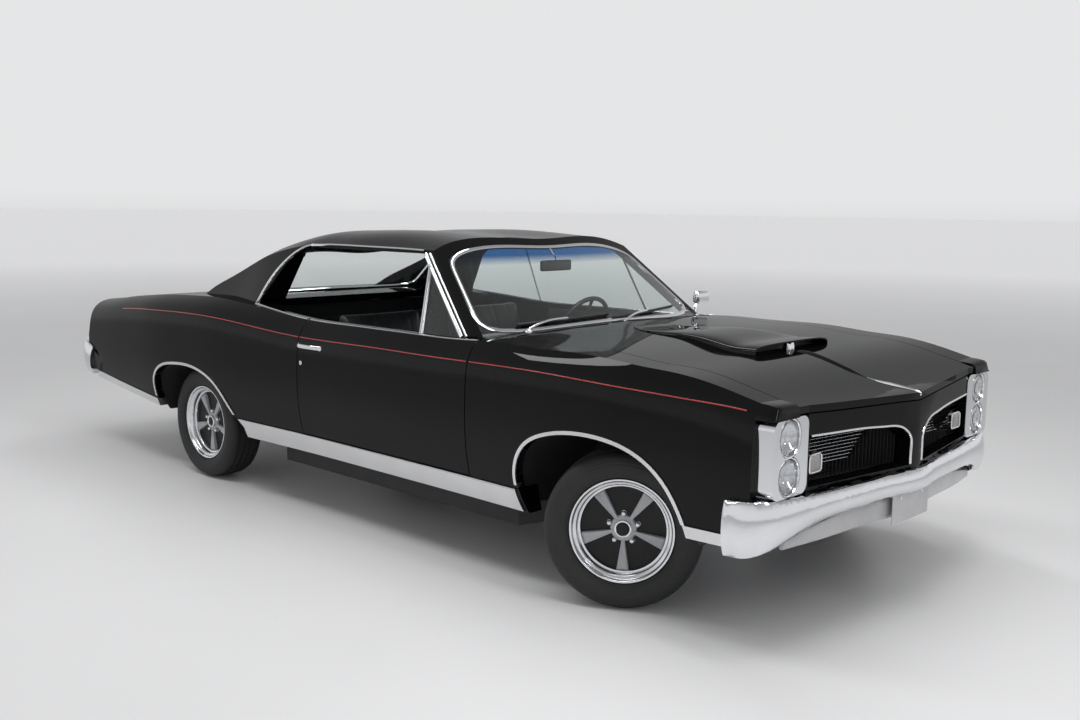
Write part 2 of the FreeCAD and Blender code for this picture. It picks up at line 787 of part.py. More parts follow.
frame_shape = fused([side_member(0), mirrored(side_member(0)), tower, mirrored(tower)] + cross)
frame_shape = frame_shape.cut(front_bumper).cut(rear_bumper)
node("chassis_frame", frame_shape)


# Doors: as thick as the whole door, the rear edge slanted for the swing
door_front = behind(size("door_front"))
door_rear = behind(size("door_rear"))
door_plan = [(door_front - GAP / 2, DOOR_INNER), (door_front - GAP / 2, WIDE), (door_rear + GAP / 2, WIDE),
             (door_rear + GAP / 2, HALF), (door_rear + GAP / 2 + size("door_rear_slant"), DOOR_INNER)]
door = outer.common(plan_slab(door_plan, size("door_bottom") + GAP / 2, SKY))
node("door_left", door)
node("door_right", mirrored(door))

# Fenders: the body's wall ahead of the doors
tip_x = FRONT_AXLE + size("bezel_face") - size("bezel_depth")
fender_room = block(door_front + GAP / 2, tip_x - CLEAR, size("hood_half_width") + GAP / 2, WIDE,
                    size("sill_height") - GAP, SKY)
fender = outer.common(fender_room).cut(inner)
fender = fender.cut(front_arch(0, 0, WIDE))
nose_under = block(FRONT_AXLE, FRONT_AXLE + size("front_overhang"), 0, WIDE, 0, size("fender_base"))
fender = fender.cut(nose_under)
fender = fender.cut(block(behind(size("cut_margin") * 3), FRONT_AXLE, 0, WIDE, 0, size("door_bottom")))
fender = fender.cut(front_bumper_room).cut(front_bumper)
node("fender_left", fender)
node("fender_right", mirrored(fender))

# Hood: the top skin between the fenders, from the cowl to the nose
hood_inner = body_loft(size("hood_thickness"))
nose_tip = FRONT_AXLE + size("nose_reach")
nose_corner = nose_tip - size("nose_sweep")


def nose_plan(shift, half, z0, z1):
    """All that is behind the pointed nose and within a half width, as a prism between two heights."""
    back, corner, lamp = behind(size("cowl_front")), nose_corner + shift, size("bezel_inner")
    outline = [(back, -half), (corner, -half), (nose_tip + shift, 0), (corner, half), (back, half)]
    if half > lamp:
        outline[2:2] = [(corner, -lamp)]
        outline[4:4] = [(corner, lamp)]
    return plan_slab(outline, z0, z1)


hood = outer.common(nose_plan(0, size("hood_half_width") - GAP / 2, BELT / 2, SKY)).cut(hood_inner)
node("hood", hood)

# The scoop, a casting that sits on the hood. Each row: shares of its length behind its mouths, of its half
# width and of its rise.
SCOOP_SHARES = [(0.0, 0.94, 0.92), (0.06, 1.0, 1.0), (0.30, 0.93, 0.92), (0.60, 0.74, 0.62), (0.85, 0.54, 0.26),
                (1.0, 0.44, 0.09)]
SCOOP_SIDE_SHARES = [(1.0, 0.0), (0.98, 0.45), (0.945, 0.72), (0.88, 0.87), (0.77, 0.945), (0.50, 0.985), (0.0, 1.0)]
SCOOP_STATIONS = 12
FOOT_POINTS = 8
SKIN_POINTS = 600
MOUTH_SHARES = (0.05, 0.88)
scoop_x = FRONT_AXLE + size("scoop_front")


def skin_line(x):
    """The hood's skin across the middle of the car at a place, as (y, z) points from right to left."""
    section = outer.slice(vec(1, 0, 0), x)[0].discretize(SKIN_POINTS)
    return sorted((p.y, p.z) for p in section if abs(p.y) < size("scoop_half_width") + WALL and p.z > BELT / 2)


def height_on(line, y):
    """The height of a skin line at a place across."""
    (y0, z0), (y1, z1) = next(pair for pair in zip(line, line[1:]) if pair[1][0] >= y)
    return z0 + (z1 - z0) * (y - y0) / (y1 - y0)


def scoop_section(station):
    """The closed cross section of the scoop at one station, its foot along the hood's skin."""
    along, width_share, rise_share = station
    x = scoop_x - along * size("scoop_length")
    half, rise = width_share * size("scoop_half_width"), rise_share * size("scoop_rise")
    foot, skin = size("scoop_bed"), skin_line(x)
    left = [vec(x, half * out, height_on(skin, half * out) + foot + (rise - foot) * up)
            for out, up in SCOOP_SIDE_SHARES]
    right = [vec(p.x, -p.y, p.z) for p in reversed(left[:-1])]
    bed = [half * (2 * i / FOOT_POINTS - 1) for i in range(1, FOOT_POINTS)]
    return Part.makePolygon(left + right + [vec(x, y, height_on(skin, y) + foot) for y in bed] + left[:1])


scoop = Part.makeLoft([scoop_section(row) for row in stations(SCOOP_SHARES, SCOOP_STATIONS)], True, True)
mouth_y = [share * size("scoop_half_width") for share in MOUTH_SHARES]
mouth_skin = height_on(skin_line(scoop_x), 0)
mouth_low, mouth_top = mouth_skin + size("scoop_lip") / 2, mouth_skin + size("scoop_rise")
mouth = block(scoop_x - size("scoop_pocket"), scoop_x + GAP, *mouth_y, mouth_low, mouth_top - size("scoop_lip"))
node("hood_scoop", scoop.cut(mouth).cut(mirrored(mouth)))

# Cowl: the top skin between hood and windscreen, and the firewall below it
cowl_rear = behind(size("cowl_rear"))
cowl_half = DOOR_INNER - GAP
cowl_nose = behind(size("cowl_front")) - GAP
neck_half = cowl_half - WALL * 2
cowl_plan = [(cowl_nose, neck_half), (door_front - GAP, neck_half), (door_front - GAP, cowl_half),
             (cowl_rear, cowl_half), (cowl_rear, -cowl_half), (door_front - GAP, -cowl_half),
             (door_front - GAP, -neck_half), (cowl_nose, -neck_half)]
cowl = outer.common(plan_slab(cowl_plan, BELT / 2, SKY)).cut(inner)
ledge_half = size("hood_half_width") - WALL
ledge_room = block(cowl_nose - GAP, cowl_nose + GAP + size("hinge_ledge"), -ledge_half, ledge_half, BELT / 2, SKY)
ledge = body_loft(size("hood_thickness") + CLEAR).cut(inner).common(ledge_room)
cowl = fused([cowl, ledge])
node("cowl", cowl)
firewall_x = behind(size("firewall_place")) - WALL
firewall = inner_clear.common(block(firewall_x - size("floor_thickness"), firewall_x, -cowl_half, cowl_half,
                                    size("floor_height") + size("floor_thickness") + CLEAR, SKY))

# Quarters: a thick wall beside the rear seat, then the body's wall round the wheel to the tail
jamb = door_rear - GAP / 2
wall_rear = behind(size("quarter_wall_rear"))
quarter_wall_plan = [(jamb, WIDE), (jamb, HALF), (jamb + size("door_rear_slant"), DOOR_INNER),
                     (wall_rear, DOOR_INNER), (wall_rear, WIDE)]
quarter_wall = outer.common(plan_slab(quarter_wall_plan, size("door_bottom"), SKY))
tail_x = behind(size("tail_reach"))
quarter_rear_room = block(tail_x, wall_rear, size("lid_half_width") + GAP / 2, WIDE, size("sill_height") - GAP, SKY)
quarter_rear = outer.common(quarter_rear_room).cut(inner)
quarter = fused([quarter_wall, quarter_rear]).cut(rear_arch(0, 0, WIDE))
rear_low, rear_high = size("rear_base"), size("rear_base") + size("rear_base_rise")
under_tail = side_slab([(REAR_AXLE, 0), (REAR_AXLE, rear_low), (tail_x - GAP, rear_high), (tail_x - GAP, 0)], 0, WIDE)
quarter = quarter.cut(under_tail)
ahead_low = block(REAR_AXLE, behind(size("door_rear")) + size("cut_margin"), 0, WIDE, 0, size("door_bottom"))
quarter = quarter.cut(ahead_low)
TAIL_FOOT_SHARE, TAIL_TOP_SHARE = 0.72, 1.10


def tail_plane(height_share, depth):
    """A point of the leaning tail in side view, at a share of the belt height and a depth below its face."""
    lean_share = (height_share - TAIL_FOOT_SHARE) / (TAIL_TOP_SHARE - TAIL_FOOT_SHARE)
    return tail_x + size("tail_lean") * max(lean_share, 0) + depth, height_share * BELT


tail_lean = side_slab([(tail_x - GAP, BELT * TAIL_TOP_SHARE), tail_plane(TAIL_TOP_SHARE, 0),
                       tail_plane(TAIL_FOOT_SHARE, 0), (tail_x - GAP, BELT * TAIL_FOOT_SHARE)], -WIDE, WIDE)
quarter = quarter.cut(tail_lean)
quarter = quarter.cut(rear_bumper_room).cut(rear_bumper)
node("quarter_left", quarter)
node("quarter_right", mirrored(quarter))

# Tail panel between the quarters, with four lamp slots each side
tail_depth = size("tail_panel_depth")
tail_room = block(tail_x, tail_x + size("tail_lean") + tail_depth * 2, -size("lid_half_width"),
                  size("lid_half_width"), size("tail_base"), SKY)
tail_inside = tail_x + size("cut_margin")
tail_cut = side_slab([tail_plane(TAIL_TOP_SHARE, tail_depth), tail_plane(TAIL_FOOT_SHARE, tail_depth),
                      (tail_x + tail_depth, 0), (tail_inside, 0), (tail_inside, BELT * TAIL_TOP_SHARE)], -WIDE, WIDE)
LAMP_LOW_SHARE, LAMP_HIGH_SHARE, SLOT_FILL_SHARE = 0.735, 0.855, 0.70
LAMP_SIDE_SHARES = (0.34, 0.70)
SLOTS = 4


def lamp_slot(number, proud, grow):
    """One lamp slot of the left side, that far proud of the tail and grown all round."""
    pitch_share = (LAMP_HIGH_SHARE - LAMP_LOW_SHARE) / SLOTS
    low_share = LAMP_LOW_SHARE + pitch_share * number - grow / BELT
    high_share = low_share + pitch_share * SLOT_FILL_SHARE + 2 * grow / BELT
    outline = [tail_plane(low_share, size("slot_depth") + grow), tail_plane(high_share, size("slot_depth") + grow),
               tail_plane(high_share, -proud), tail_plane(low_share, -proud)]
    return side_slab(outline, HALF * LAMP_SIDE_SHARES[0] - grow, HALF * LAMP_SIDE_SHARES[1] + grow)


tail_panel = outer.common(tail_room).cut(tail_lean).cut(tail_cut)
tail_panel = tail_panel.cut(rear_bumper_room).cut(rear_bumper).cut(rail_room)
lenses = []
for number in range(SLOTS):
    slot = lamp_slot(number, GAP, CLEAR)
    tail_panel = tail_panel.cut(slot).cut(mirrored(slot))
    lenses.append(lamp_slot(number, size("lens_proud"), 0))
node("tail_panel", tail_panel)
node("tail_lamps", Part.makeCompound(lenses + [mirrored(lens) for lens in lenses]))

# Trunk lid
lid_room = block(behind(size("lid_rear")), behind(size("lid_front")), -size("lid_half_width") + GAP / 2,
                 size("lid_half_width") - GAP / 2, BELT / 2, SKY)
trunk_lid = outer.common(lid_room).cut(hood_inner).cut(tail_lean)
node("trunk_lid", trunk_lid)

# Roof with its pillars and sail panels
PILLAR_BASE_SHARE, PILLAR_TOP_SHARE = 1.6, 1.2
SHOULDER_SHARE, SHOULDER_HEIGHT_SHARE, REAR_CORNER_SHARE = 0.4, 0.955, 1.036
window_front = behind(size("screen_base_place")) - WALL * PILLAR_BASE_SHARE
window_end, window_top = behind(size("window_rear")), size("window_top_height")
window_shoulder = behind(size("window_top_rear")) * (1 - SHOULDER_SHARE) + window_end * SHOULDER_SHARE
window_outline = [(window_front, BELT), (behind(size("screen_top_place")) - WALL * PILLAR_TOP_SHARE, window_top),
                  (behind(size("window_top_rear")), window_top), (window_shoulder, window_top * SHOULDER_HEIGHT_SHARE),
                  (window_end, BELT * REAR_CORNER_SHARE), (window_end, 0), (window_front, 0)]
window_room = side_slab(window_outline, -WIDE, WIDE)
sail_outline = [(window_end - GAP, BELT), (behind(size("window_top_rear")) - WALL * 2, size("rail_height")),
                (behind(size("lid_rear")), size("rail_height")), (behind(size("lid_rear")), BELT)]
sail_room = side_slab(sail_outline, size("tunnel_half"), WIDE)
sails = cabin_outer.common(fused([sail_room, mirrored(sail_room)]))
roof = cabin_outer.cut(cabin_inner).fuse(sails)
tunnel = backlight_side(0).common(block(behind(size("lid_rear")), behind(size("back_top_place")) + WALL,
                                        -size("tunnel_half"), size("tunnel_half"), BELT, SKY))
roof = roof.cut(windscreen_side(0)).cut(window_room).cut(tunnel).cut(outer)
door_top_room = block(door_rear - GAP, door_front + GAP, DOOR_INNER - GAP, WIDE, 0, BELT + GAP * 3)
roof = roof.cut(door_top_room).cut(mirrored(door_top_room))
node("roof_shell", roof)

# Rear deck between the rear window and the trunk lid
deck_room = block(behind(size("lid_front")) + GAP, behind(size("deck_front")), -size("lid_half_width"),
                  size("lid_half_width"), BELT / 2, SKY)
node("rear_deck", outer.common(deck_room).cut(inner))

# Glass
glass = size("glass_thickness")
cabin_clear = cabin_loft(size("roof_wall") + CLEAR)
windshield = cabin_clear.common(windscreen_side(-glass)).cut(windscreen_side(0)).cut(outer)
node("windshield", windshield)
backlight = backlight_side(glass).cut(backlight_side(0)).cut(outer)
glass_half = size("tunnel_half") - CLEAR
backlight_room = block(behind(size("lid_rear")), behind(size("back_top_place")) + WALL * 2, -glass_half, glass_half,
                       BELT, SKY)
backlight = backlight.common(cabin_clear).common(backlight_room)
node("backlight", backlight)
side_glass = cabin_loft(size("glass_inset")).cut(cabin_loft(size("glass_inset") + glass)).cut(outer)
left_room = block(behind(size("lid_rear")), FRONT_AXLE, size("rail_half_width") / 2, WIDE, 0, SKY)
side_glass = side_glass.common(window_room).common(left_room)
post_base = behind(size("vent_post_place"))
post_top = behind(size("vent_post_place") + size("vent_post_lean"))


def glass_strip(glass_sheet, base_front, top_front, base_rear, top_rear):
    """The part of a side glass between two leaning lines, given at the belt and at the rail."""
    top = size("rail_height")
    outline = [(base_front, BELT), (top_front, top), (top_rear, top), (base_rear, BELT)]
    return glass_sheet.common(side_slab(outline, 0, WIDE))


lid_rear = behind(size("lid_rear"))
vent_glass = glass_strip(side_glass, FRONT_AXLE, FRONT_AXLE, post_base + GAP, post_top + GAP)
door_pane = glass_strip(side_glass, post_base - GAP, post_top - GAP, door_rear + GAP, door_rear + GAP)
quarter_pane = glass_strip(side_glass, door_rear - GAP, door_rear - GAP, lid_rear, lid_rear)
node("door_glass_left", Part.makeCompound([vent_glass, door_pane]))
node("door_glass_right", mirrored(vent_glass))
node("quarter_glass_left", quarter_pane)

# Rocker panels below the doors and the bright mouldings over them
rocker_room = block(REAR_AXLE, FRONT_AXLE, DOOR_INNER, WIDE, size("sill_height"), size("door_bottom") - GAP / 2)
rocker = outer.common(rocker_room).cut(front_arch(0, 0, WIDE)).cut(rear_arch(0, 0, WIDE))
node("rocker_panels", both(rocker))
outset = body_loft(-size("trim_proud"))
outer_clear = body_loft(-CLEAR)
moulding_room = block(REAR_AXLE, FRONT_AXLE, DOOR_INNER, WIDE, size("sill_height") + GAP, size("door_bottom") - GAP)
moulding = outset.cut(outer_clear).common(moulding_room)
moulding = moulding.cut(front_arch(GAP * 4, 0, WIDE)).cut(rear_arch(GAP * 4, 0, WIDE))
strip_inner = DOOR_INNER - WALL
front_strip_room = block(FRONT_AXLE, FRONT_AXLE + size("front_wing_rear") - GAP, strip_inner, WIDE,
                         size("valance_base"), size("fender_base") - CLEAR)
front_strip = outset.common(front_strip_room).cut(inner).cut(front_arch(GAP, 0, WIDE))
strip_height = size("rear_strip_height")
rear_strip_room = side_slab([(REAR_AXLE, rear_low - CLEAR), (tail_x - GAP, rear_high - CLEAR),
                             (tail_x - GAP, rear_high - strip_height), (REAR_AXLE, rear_low - strip_height)],
                            strip_inner, WIDE)
rear_strip = outset.common(rear_strip_room).cut(inner).cut(rear_arch(GAP, 0, WIDE))
rear_strip = rear_strip.common(block(tail_x + WALL * 3, REAR_AXLE, 0, WIDE, 0, BELT))
strips = [moulding, front_strip, rear_strip]
node("rocker_mouldings", Part.makeCompound(strips + [mirrored(strip) for strip in strips]))

# Bright lips round the wheel arches
lip = outset.cut(outer_clear)
lip_room = block(tail_x, FRONT_AXLE + size("bezel_face"), strip_inner, WIDE, size("fender_base"), BELT)
lips = [lip.common(lip_room).common(arch(size("arch_trim_width"), 0, WIDE)).cut(arch(0, 0, WIDE))
        for arch in (front_arch, rear_arch)]
node("arch_trim", Part.makeCompound(lips + [mirrored(lip) for lip in lips]))


# Wheelhouses: an arched shell and an inner wall over each wheel
def wheelhouse(arch, inner_y):
    """One wheelhouse on the left side."""
    near, far = size("house_wall"), size("house_wall") * 3
    shell = arch(far, inner_y, WIDE).cut(arch(near, inner_y, WIDE))
    wall = arch(far, inner_y - size("house_wall"), inner_y)
    low = block(lid_rear, FRONT_AXLE + size("front_overhang"), inner_y - near, inner_y, DEEP, size("house_wall_base"))
    return inner_clear.common(fused([shell, wall.cut(low)]))


houses = [wheelhouse(front_arch, size("front_house_inner")), wheelhouse(rear_arch, size("rear_house_inner"))]
house_floor = block(lid_rear, FRONT_AXLE + size("front_overhang"), 0, WIDE, DEEP, size("rocker_top"))
rocker_solid = block(REAR_AXLE, FRONT_AXLE, DOOR_INNER - CLEAR, WIDE, 0, size("door_bottom"))
half_wall = size("house_wall") / 2
rocker_solid = rocker_solid.cut(front_arch(half_wall, 0, WIDE)).cut(rear_arch(half_wall, 0, WIDE))
houses = [house.cut(house_floor).cut(rocker_solid) for house in houses]
node("wheelhouses", Part.makeCompound(houses + [mirrored(house) for house in houses]))

# Nose panel, grille, lamps
NOSE_TOP_SHARE = 0.8
split = FRONT_AXLE + size("nose_split")
lamp_in, divider_half = size("bezel_inner"), size("divider_half")
below_hood = body_loft(size("hood_thickness") + GAP)
nose = below_hood.common(nose_plan(0, lamp_in, size("nose_base"), SKY))
nose = nose.cut(block(behind(WHEELBASE), split, -WIDE, WIDE, 0, SKY))
hollow = body_loft(size("hood_thickness") + GAP + WALL).common(nose_plan(-size("nose_wall"), lamp_in, 0, SKY))
hollow = hollow.cut(block(split, nose_tip, -divider_half, divider_half, 0, BELT * NOSE_TOP_SHARE))
nose = nose.cut(hollow)
# A grille opening in front view: shares of its width out from the divider and of its height.
OPENING_SHARES = [(0.0, 0.0), (0.0, 0.58), (0.124, 0.854), (0.46, 0.958), (1.0, 1.0), (1.0, 0.0)]


def opening(x0, x1):
    """The left grille opening as a prism along the car."""
    width, height = size("grille_outer") - divider_half, size("grille_top") - size("grille_base")
    return front_slab([(divider_half + out * width, size("grille_base") + up * height) for out, up in OPENING_SHARES],
                      x0, x1)


grille_hole = opening(split - WALL, nose_tip + WALL)
nose = nose.cut(grille_hole).cut(mirrored(grille_hole))
buffer_top = body_loft(size("hood_thickness") + CLEAR)
buffers = []
for out in (-divider_half, divider_half):
    buffer_base = vec(nose_corner, out, BELT * NOSE_TOP_SHARE)
    buffers.append(rod(buffer_base, buffer_base + vec(0, 0, BELT), size("buffer_radius")).common(buffer_top))
node("nose_panel", fused([nose] + buffers).cut(front_bumper_room).cut(front_bumper).cut(rail_room))
bar_half, grille_x = size("grille_bar") / 2, FRONT_AXLE + size("grille_place")
bar_reach, park_reach = size("grille_bar") * 3, size("grille_bar") * 6
back_plate = opening(grille_x - size("floor_thickness"), grille_x)
bar_count = int(size("grille_bars"))
pitch = (size("grille_top") - size("grille_base")) / bar_count
heights = [size("grille_base") + pitch * (i + 0.5) for i in range(bar_count)]
bars = [block(grille_x, grille_x + bar_reach, 0, size("grille_outer"), z - bar_half, z + bar_half) for z in heights]
bars = [bar.common(opening(grille_x, grille_x + bar_reach)) for bar in bars]
park_centre = vec(grille_x, size("park_lamp_out"), size("park_lamp_height"))
park = rod(park_centre, park_centre + vec(park_reach, 0, 0), size("park_lamp_radius"))
node("grille", both(fused([back_plate] + bars + [park])))

BEZEL_ROUND_SHARE = 0.5
bezel_x = FRONT_AXLE + size("bezel_face")
bezel = block(bezel_x - size("bezel_depth"), bezel_x, size("bezel_inner") + CLEAR, size("bezel_outer"),
              size("bezel_base"), size("bezel_top"))
bezel_edges = [edge for edge in bezel.Edges if edge.BoundBox.XLength > GAP]
bezel = bezel.makeFillet(size("bezel_depth") * BEZEL_ROUND_SHARE, bezel_edges)
front_axle = cell("overall_length") / 2 - cell("front_overhang")
rear_axle = front_axle - cell("wheelbase")
zero = Cell.read(0.0)
lamps = []
for level in ("upper", "lower"):
    centre = vec(bezel_x, size("lamp_out"), size(level + "_lamp_height"))
    seat_end = centre - vec(size("lamp_sink") + size("lamp_depth"), 0, 0)
    bezel = bezel.cut(rod(seat_end - vec(GAP, 0, 0), centre + vec(GAP, 0, 0), size("lamp_radius")))
    lamp_x = front_axle + cell("bezel_face") - cell("lamp_sink") - cell("lamp_depth")
    start = (lamp_x, cell("lamp_out"), cell(level + "_lamp_height"))
    lamp = bound_rod(level + "_lamp", start, vec(1, 0, 0), cell("lamp_depth"), cell("lamp_radius") - CLEAR)
    lamps.extend([lamp, bound_mirror(level + "_lamp_right", lamp)])
node("headlamp_bezels", both(bezel))
keep(bound_group("headlamps", lamps))

# Wheels: bodies whose own Y is the wheel's axis, the outside at +Y
TREAD_SHARE, SHOULDER_OUT_SHARE, SHOULDER_BULGE_SHARE, SHOULDER_LIFT_SHARE = 0.80, 0.955, 0.2, 0.12
SPOKE_ROOT_SHARE, SPOKE_NARROW_SHARE, CAP_FLARE_SHARE, BORE_SHARE = 0.6, 0.38, 1.4, 0.5
SPOKES = 5
rim_half = cell("rim_width") / 2
flange = cell("disc_thickness")
hub_y = rim_half - cell("disc_recess")
hub_z = cell("tyre_radius")


def tyre_body(name):
    """A tyre with bulged sidewalls and rounded shoulders."""
    ring, radius, half = cell("ring_radius") + CLEAR, cell("tyre_radius"), cell("tyre_width") / 2
    bead, tread = rim_half - GAP, half * TREAD_SHARE
    drop = half - tread
    shoulder, shoulder_y = radius - drop, half * SHOULDER_OUT_SHARE
    middle = (ring + radius) / 2
    bend = radius - drop / 2 + drop * SHOULDER_LIFT_SHARE
    bend_y = (tread + shoulder_y) / 2 + drop * SHOULDER_BULGE_SHARE
    body = doc.addObject("PartDesign::Body", name)
    revolved(body, name + "_ring", [((ring, bead), (middle, half)), ((shoulder, shoulder_y), (bend, bend_y)),
                                    ((radius, tread),), ((radius, -tread), (bend, -bend_y)),
                                    ((shoulder, -shoulder_y), (middle, -half)), ((ring, -bead),)])
    return body


def rim_body(name):
    """The wheel: hub with cap, spokes, nuts and the barrel with its bright ring."""
    body = doc.addObject("PartDesign::Body", name)
    bore, bore_end = cell("spindle_radius") + CLEAR, hub_y + cell("disc_recess") * BORE_SHARE
    cap, hub = cell("cap_radius"), cell("hub_radius")
    revolved(body, name + "_hub", [((bore, hub_y - flange),), ((hub, hub_y - flange),), ((hub, hub_y),),
                                   ((cap * CAP_FLARE_SHARE, hub_y),), ((cap, rim_half),), ((zero, rim_half),),
                                   ((zero, bore_end),), ((bore, bore_end),)])
    root, tip = hub * SPOKE_ROOT_SHARE, cell("barrel_radius") + GAP
    narrow, wide = cell("spoke_width") * SPOKE_NARROW_SHARE, cell("spoke_width") / 2
    outline = [((-narrow, -root),), ((narrow, -root),), ((wide, -tip),), ((-wide, -tip),)]
    spoke = padded(body, name + "_spoke", outline, hub_y - flange, hub_y + flange)
    patterned(body, name + "_spokes", spoke, SPOKES)
    lug_z, lug_x = cell("lug_circle_radius"), cell("lug_radius")
    flat = lug_x * math.cos(math.radians(30))
    sides = [(lug_x, zero), (lug_x / 2, flat), (-lug_x / 2, flat), (-lug_x, zero), (-lug_x / 2, -flat), (lug_x / 2, -flat)]
    nut = padded(body, name + "_nut", [((x, lug_z + z),) for x, z in sides], hub_y - flange, hub_y + cell("lug_length"))
    patterned(body, name + "_nuts", nut, SPOKES)
    ring, bead, barrel = cell("ring_radius"), cell("bead_radius"), cell("barrel_radius")
    revolved(body, name + "_barrel", [((ring, -rim_half),), ((ring, flange / 2 - rim_half),),
                                      ((bead, flange - rim_half),), ((bead, rim_half - flange * 1.5),),
                                      ((ring, rim_half - flange / 2),), ((ring, rim_half),),
                                      ((ring - flange, rim_half),), ((barrel, rim_half - flange * 2.5),),
                                      ((barrel, flange - rim_half),), ((ring - flange, -rim_half),)])
    return body


half_front, half_rear = cell("front_track") / 2, cell("rear_track") / 2
kingpin_y = half_front - cell("kingpin_place")
steer = math.radians(size("steer_angle"))
steer_sine = Cell(math.sin(steer), "sin(Sizes.steer_angle)")
steer_cosine = Cell(math.cos(steer), "cos(Sizes.steer_angle)")
RIGHT_ABOUT = 180
for side, name in ((1, "left"), (-1, "right")):
    facing = Cell.read(0 if side > 0 else RIGHT_ABOUT)
    for label, shape in (("tyre", tyre_body), ("rim", rim_body)):
        rear_wheel = keep(shape("rear_%s_%s" % (label, name)))
        placed(rear_wheel, rear_axle, half_rear * side, hub_z)
        rear_wheel.setExpression("Placement.Rotation.Angle", facing.text)
        front_wheel = keep(shape("front_%s_%s" % (label, name)))
        placed(front_wheel, front_axle - cell("kingpin_place") * steer_sine * side,
               (kingpin_y + cell("kingpin_place") * steer_cosine) * side, hub_z)
        front_wheel.setExpression("Placement.Rotation.Angle", (facing + cell("steer_angle")).text)

# Knuckles: kingpin post, spindle and brake drum, about the kingpin at the hub's height
SPINDLE_SHARE = 0.7
drum_out = hub_y - flange - GAP
for side, name in ((1, "left"), (-1, "right")):
    out = vec(0, side, 0)
    post = bound_rod("post_" + name, (zero, zero, -cell("kingpin_half")), vec(0, 0, 1), cell("kingpin_half") * 2,
                     cell("kingpin_radius"))
    spindle_reach = cell("kingpin_place") + rim_half - cell("disc_recess") * SPINDLE_SHARE
    spindle = bound_rod("spindle_" + name, (zero, zero, zero), out, spindle_reach, cell("spindle_radius"))
    drum_start = (cell("kingpin_place") + drum_out - cell("drum_width")) * side
    drum = bound_rod("drum_" + name, (zero, drum_start, zero), out, cell("drum_width"), cell("drum_radius"))
    knuckle = keep(bound_fuse("knuckle_" + name, [post, spindle, drum]))
    placed(knuckle, front_axle, kingpin_y * side, hub_z)
    knuckle.setExpression("Placement.Rotation.Angle", cell("steer_angle").text)

# Front suspension arms
pin_y, pin_reach = kingpin_y.value, kingpin_y.value + size("arm_tip_reach")
arm_root, arm_half, tip = size("front_rail_half") + rail_half + CLEAR, size("arm_spread"), size("arm_tip_half")
arms = []
for level in (-1, 1):
    z = HUB_Z + level * (size("kingpin_half") + CLEAR)
    arm_plan = [(FRONT_AXLE - arm_half, arm_root), (FRONT_AXLE - tip, pin_y - tip), (FRONT_AXLE - tip, pin_reach),
                (FRONT_AXLE + tip, pin_reach), (FRONT_AXLE + tip, pin_y - tip), (FRONT_AXLE + arm_half, arm_root)]
    arms.append(plan_slab(arm_plan, z, z + level * size("arm_thickness")))
node("front_suspension", Part.makeCompound(arms + [mirrored(arm) for arm in arms]))

# Floor, trunk floor and firewall. The floor's rows: shares of the wheelbase behind the front axle and of
# the belt height above the footwells.
FLOOR_SHARES = [(0.2477, 0.0), (0.815, 0.0), (0.880, 0.235), (1.085, 0.235), (1.110, 0.150), (1.400, 0.150)]
TUNNEL_REAR_SHARE, TUNNEL_LENGTH_SHARE = 0.808, 0.56
floor_z, floor_t = size("floor_height"), size("floor_thickness")
upper = [(behind(along * WHEELBASE), floor_z + floor_t + rise * BELT) for along, rise in FLOOR_SHARES]
lower = [(x, z - floor_t) for x, z in reversed(upper)]
floor_half = size("rear_house_inner") - size("house_wall") - CLEAR
floor_pan = side_slab(upper + lower, -floor_half, floor_half)
side_floor = block(wall_rear, firewall_x - floor_t, -cowl_half, cowl_half, floor_z, floor_z + floor_t)
tunnel_rear = vec(behind(WHEELBASE * TUNNEL_REAR_SHARE), 0, floor_z)
tunnel_front = tunnel_rear + vec(WHEELBASE * TUNNEL_LENGTH_SHARE, 0, 0)
tube = rod(tunnel_rear, tunnel_front, size("tunnel_radius"))
floor_pan = fused([floor_pan, side_floor, tube]).cut(rod(tunnel_rear, tunnel_front, size("tunnel_radius") - floor_t))
below = block(behind(WHEELBASE), FRONT_AXLE, -size("tunnel_radius"), size("tunnel_radius"), 0, floor_z)
floor_node = node("floor_pan", floor_pan.cut(below).cut(frame_shape))
firewall_hole = rod(tunnel_rear, tunnel_front + vec(GAP, 0, 0), size("tunnel_radius"))
node("firewall", firewall.cut(firewall_hole).cut(cowl))

# Engine, gearbox and shaft, rear axle, tank, radiator
GEARBOX_SHARE, GEARBOX_END_SHARE, GEARBOX_LENGTH_SHARE, SHAFT_START_SHARE = 0.8, 1.6, 0.22, 0.20
CARRIER_NOSE_SHARE, RADIATOR_TOP_SHARE = 1.2, 0.82
TANK_SHARES = (1.385, 1.20)
engine_x = front_axle - cell("engine_rear")
engine_base = cell("belt_height") * cross_top(ENGINE_CROSS_ROW) + CLEAR
engine_half = cell("engine_width") / 2
keep(bound_block("engine_block", engine_x, engine_x + cell("engine_length"), -engine_half, engine_half, engine_base,
                 engine_base + cell("engine_depth")))
gearbox = bound("Cone", "gearbox", Radius1=cell("tunnel_radius") * GEARBOX_SHARE,
                Radius2=cell("shaft_radius") * GEARBOX_END_SHARE, Height=cell("wheelbase") * GEARBOX_LENGTH_SHARE)
placed(gearbox, engine_x - CLEAR, zero, hub_z, vec(-1, 0, 0))
shaft_x = engine_x - cell("wheelbase") * SHAFT_START_SHARE
shaft_reach = shaft_x - rear_axle - cell("carrier_radius") * CARRIER_NOSE_SHARE
shaft = bound_rod("shaft", (shaft_x, zero, hub_z), vec(-1, 0, 0), shaft_reach, cell("shaft_radius"))
gear_train = bound_cut("gear_train", bound_fuse("gearbox_and_shaft", [gearbox, shaft]), floor_node)
keep(gear_train).Label = "driveline"
carrier = placed(bound("Sphere", "carrier", Radius=cell("carrier_radius")), rear_axle, zero, hub_z)


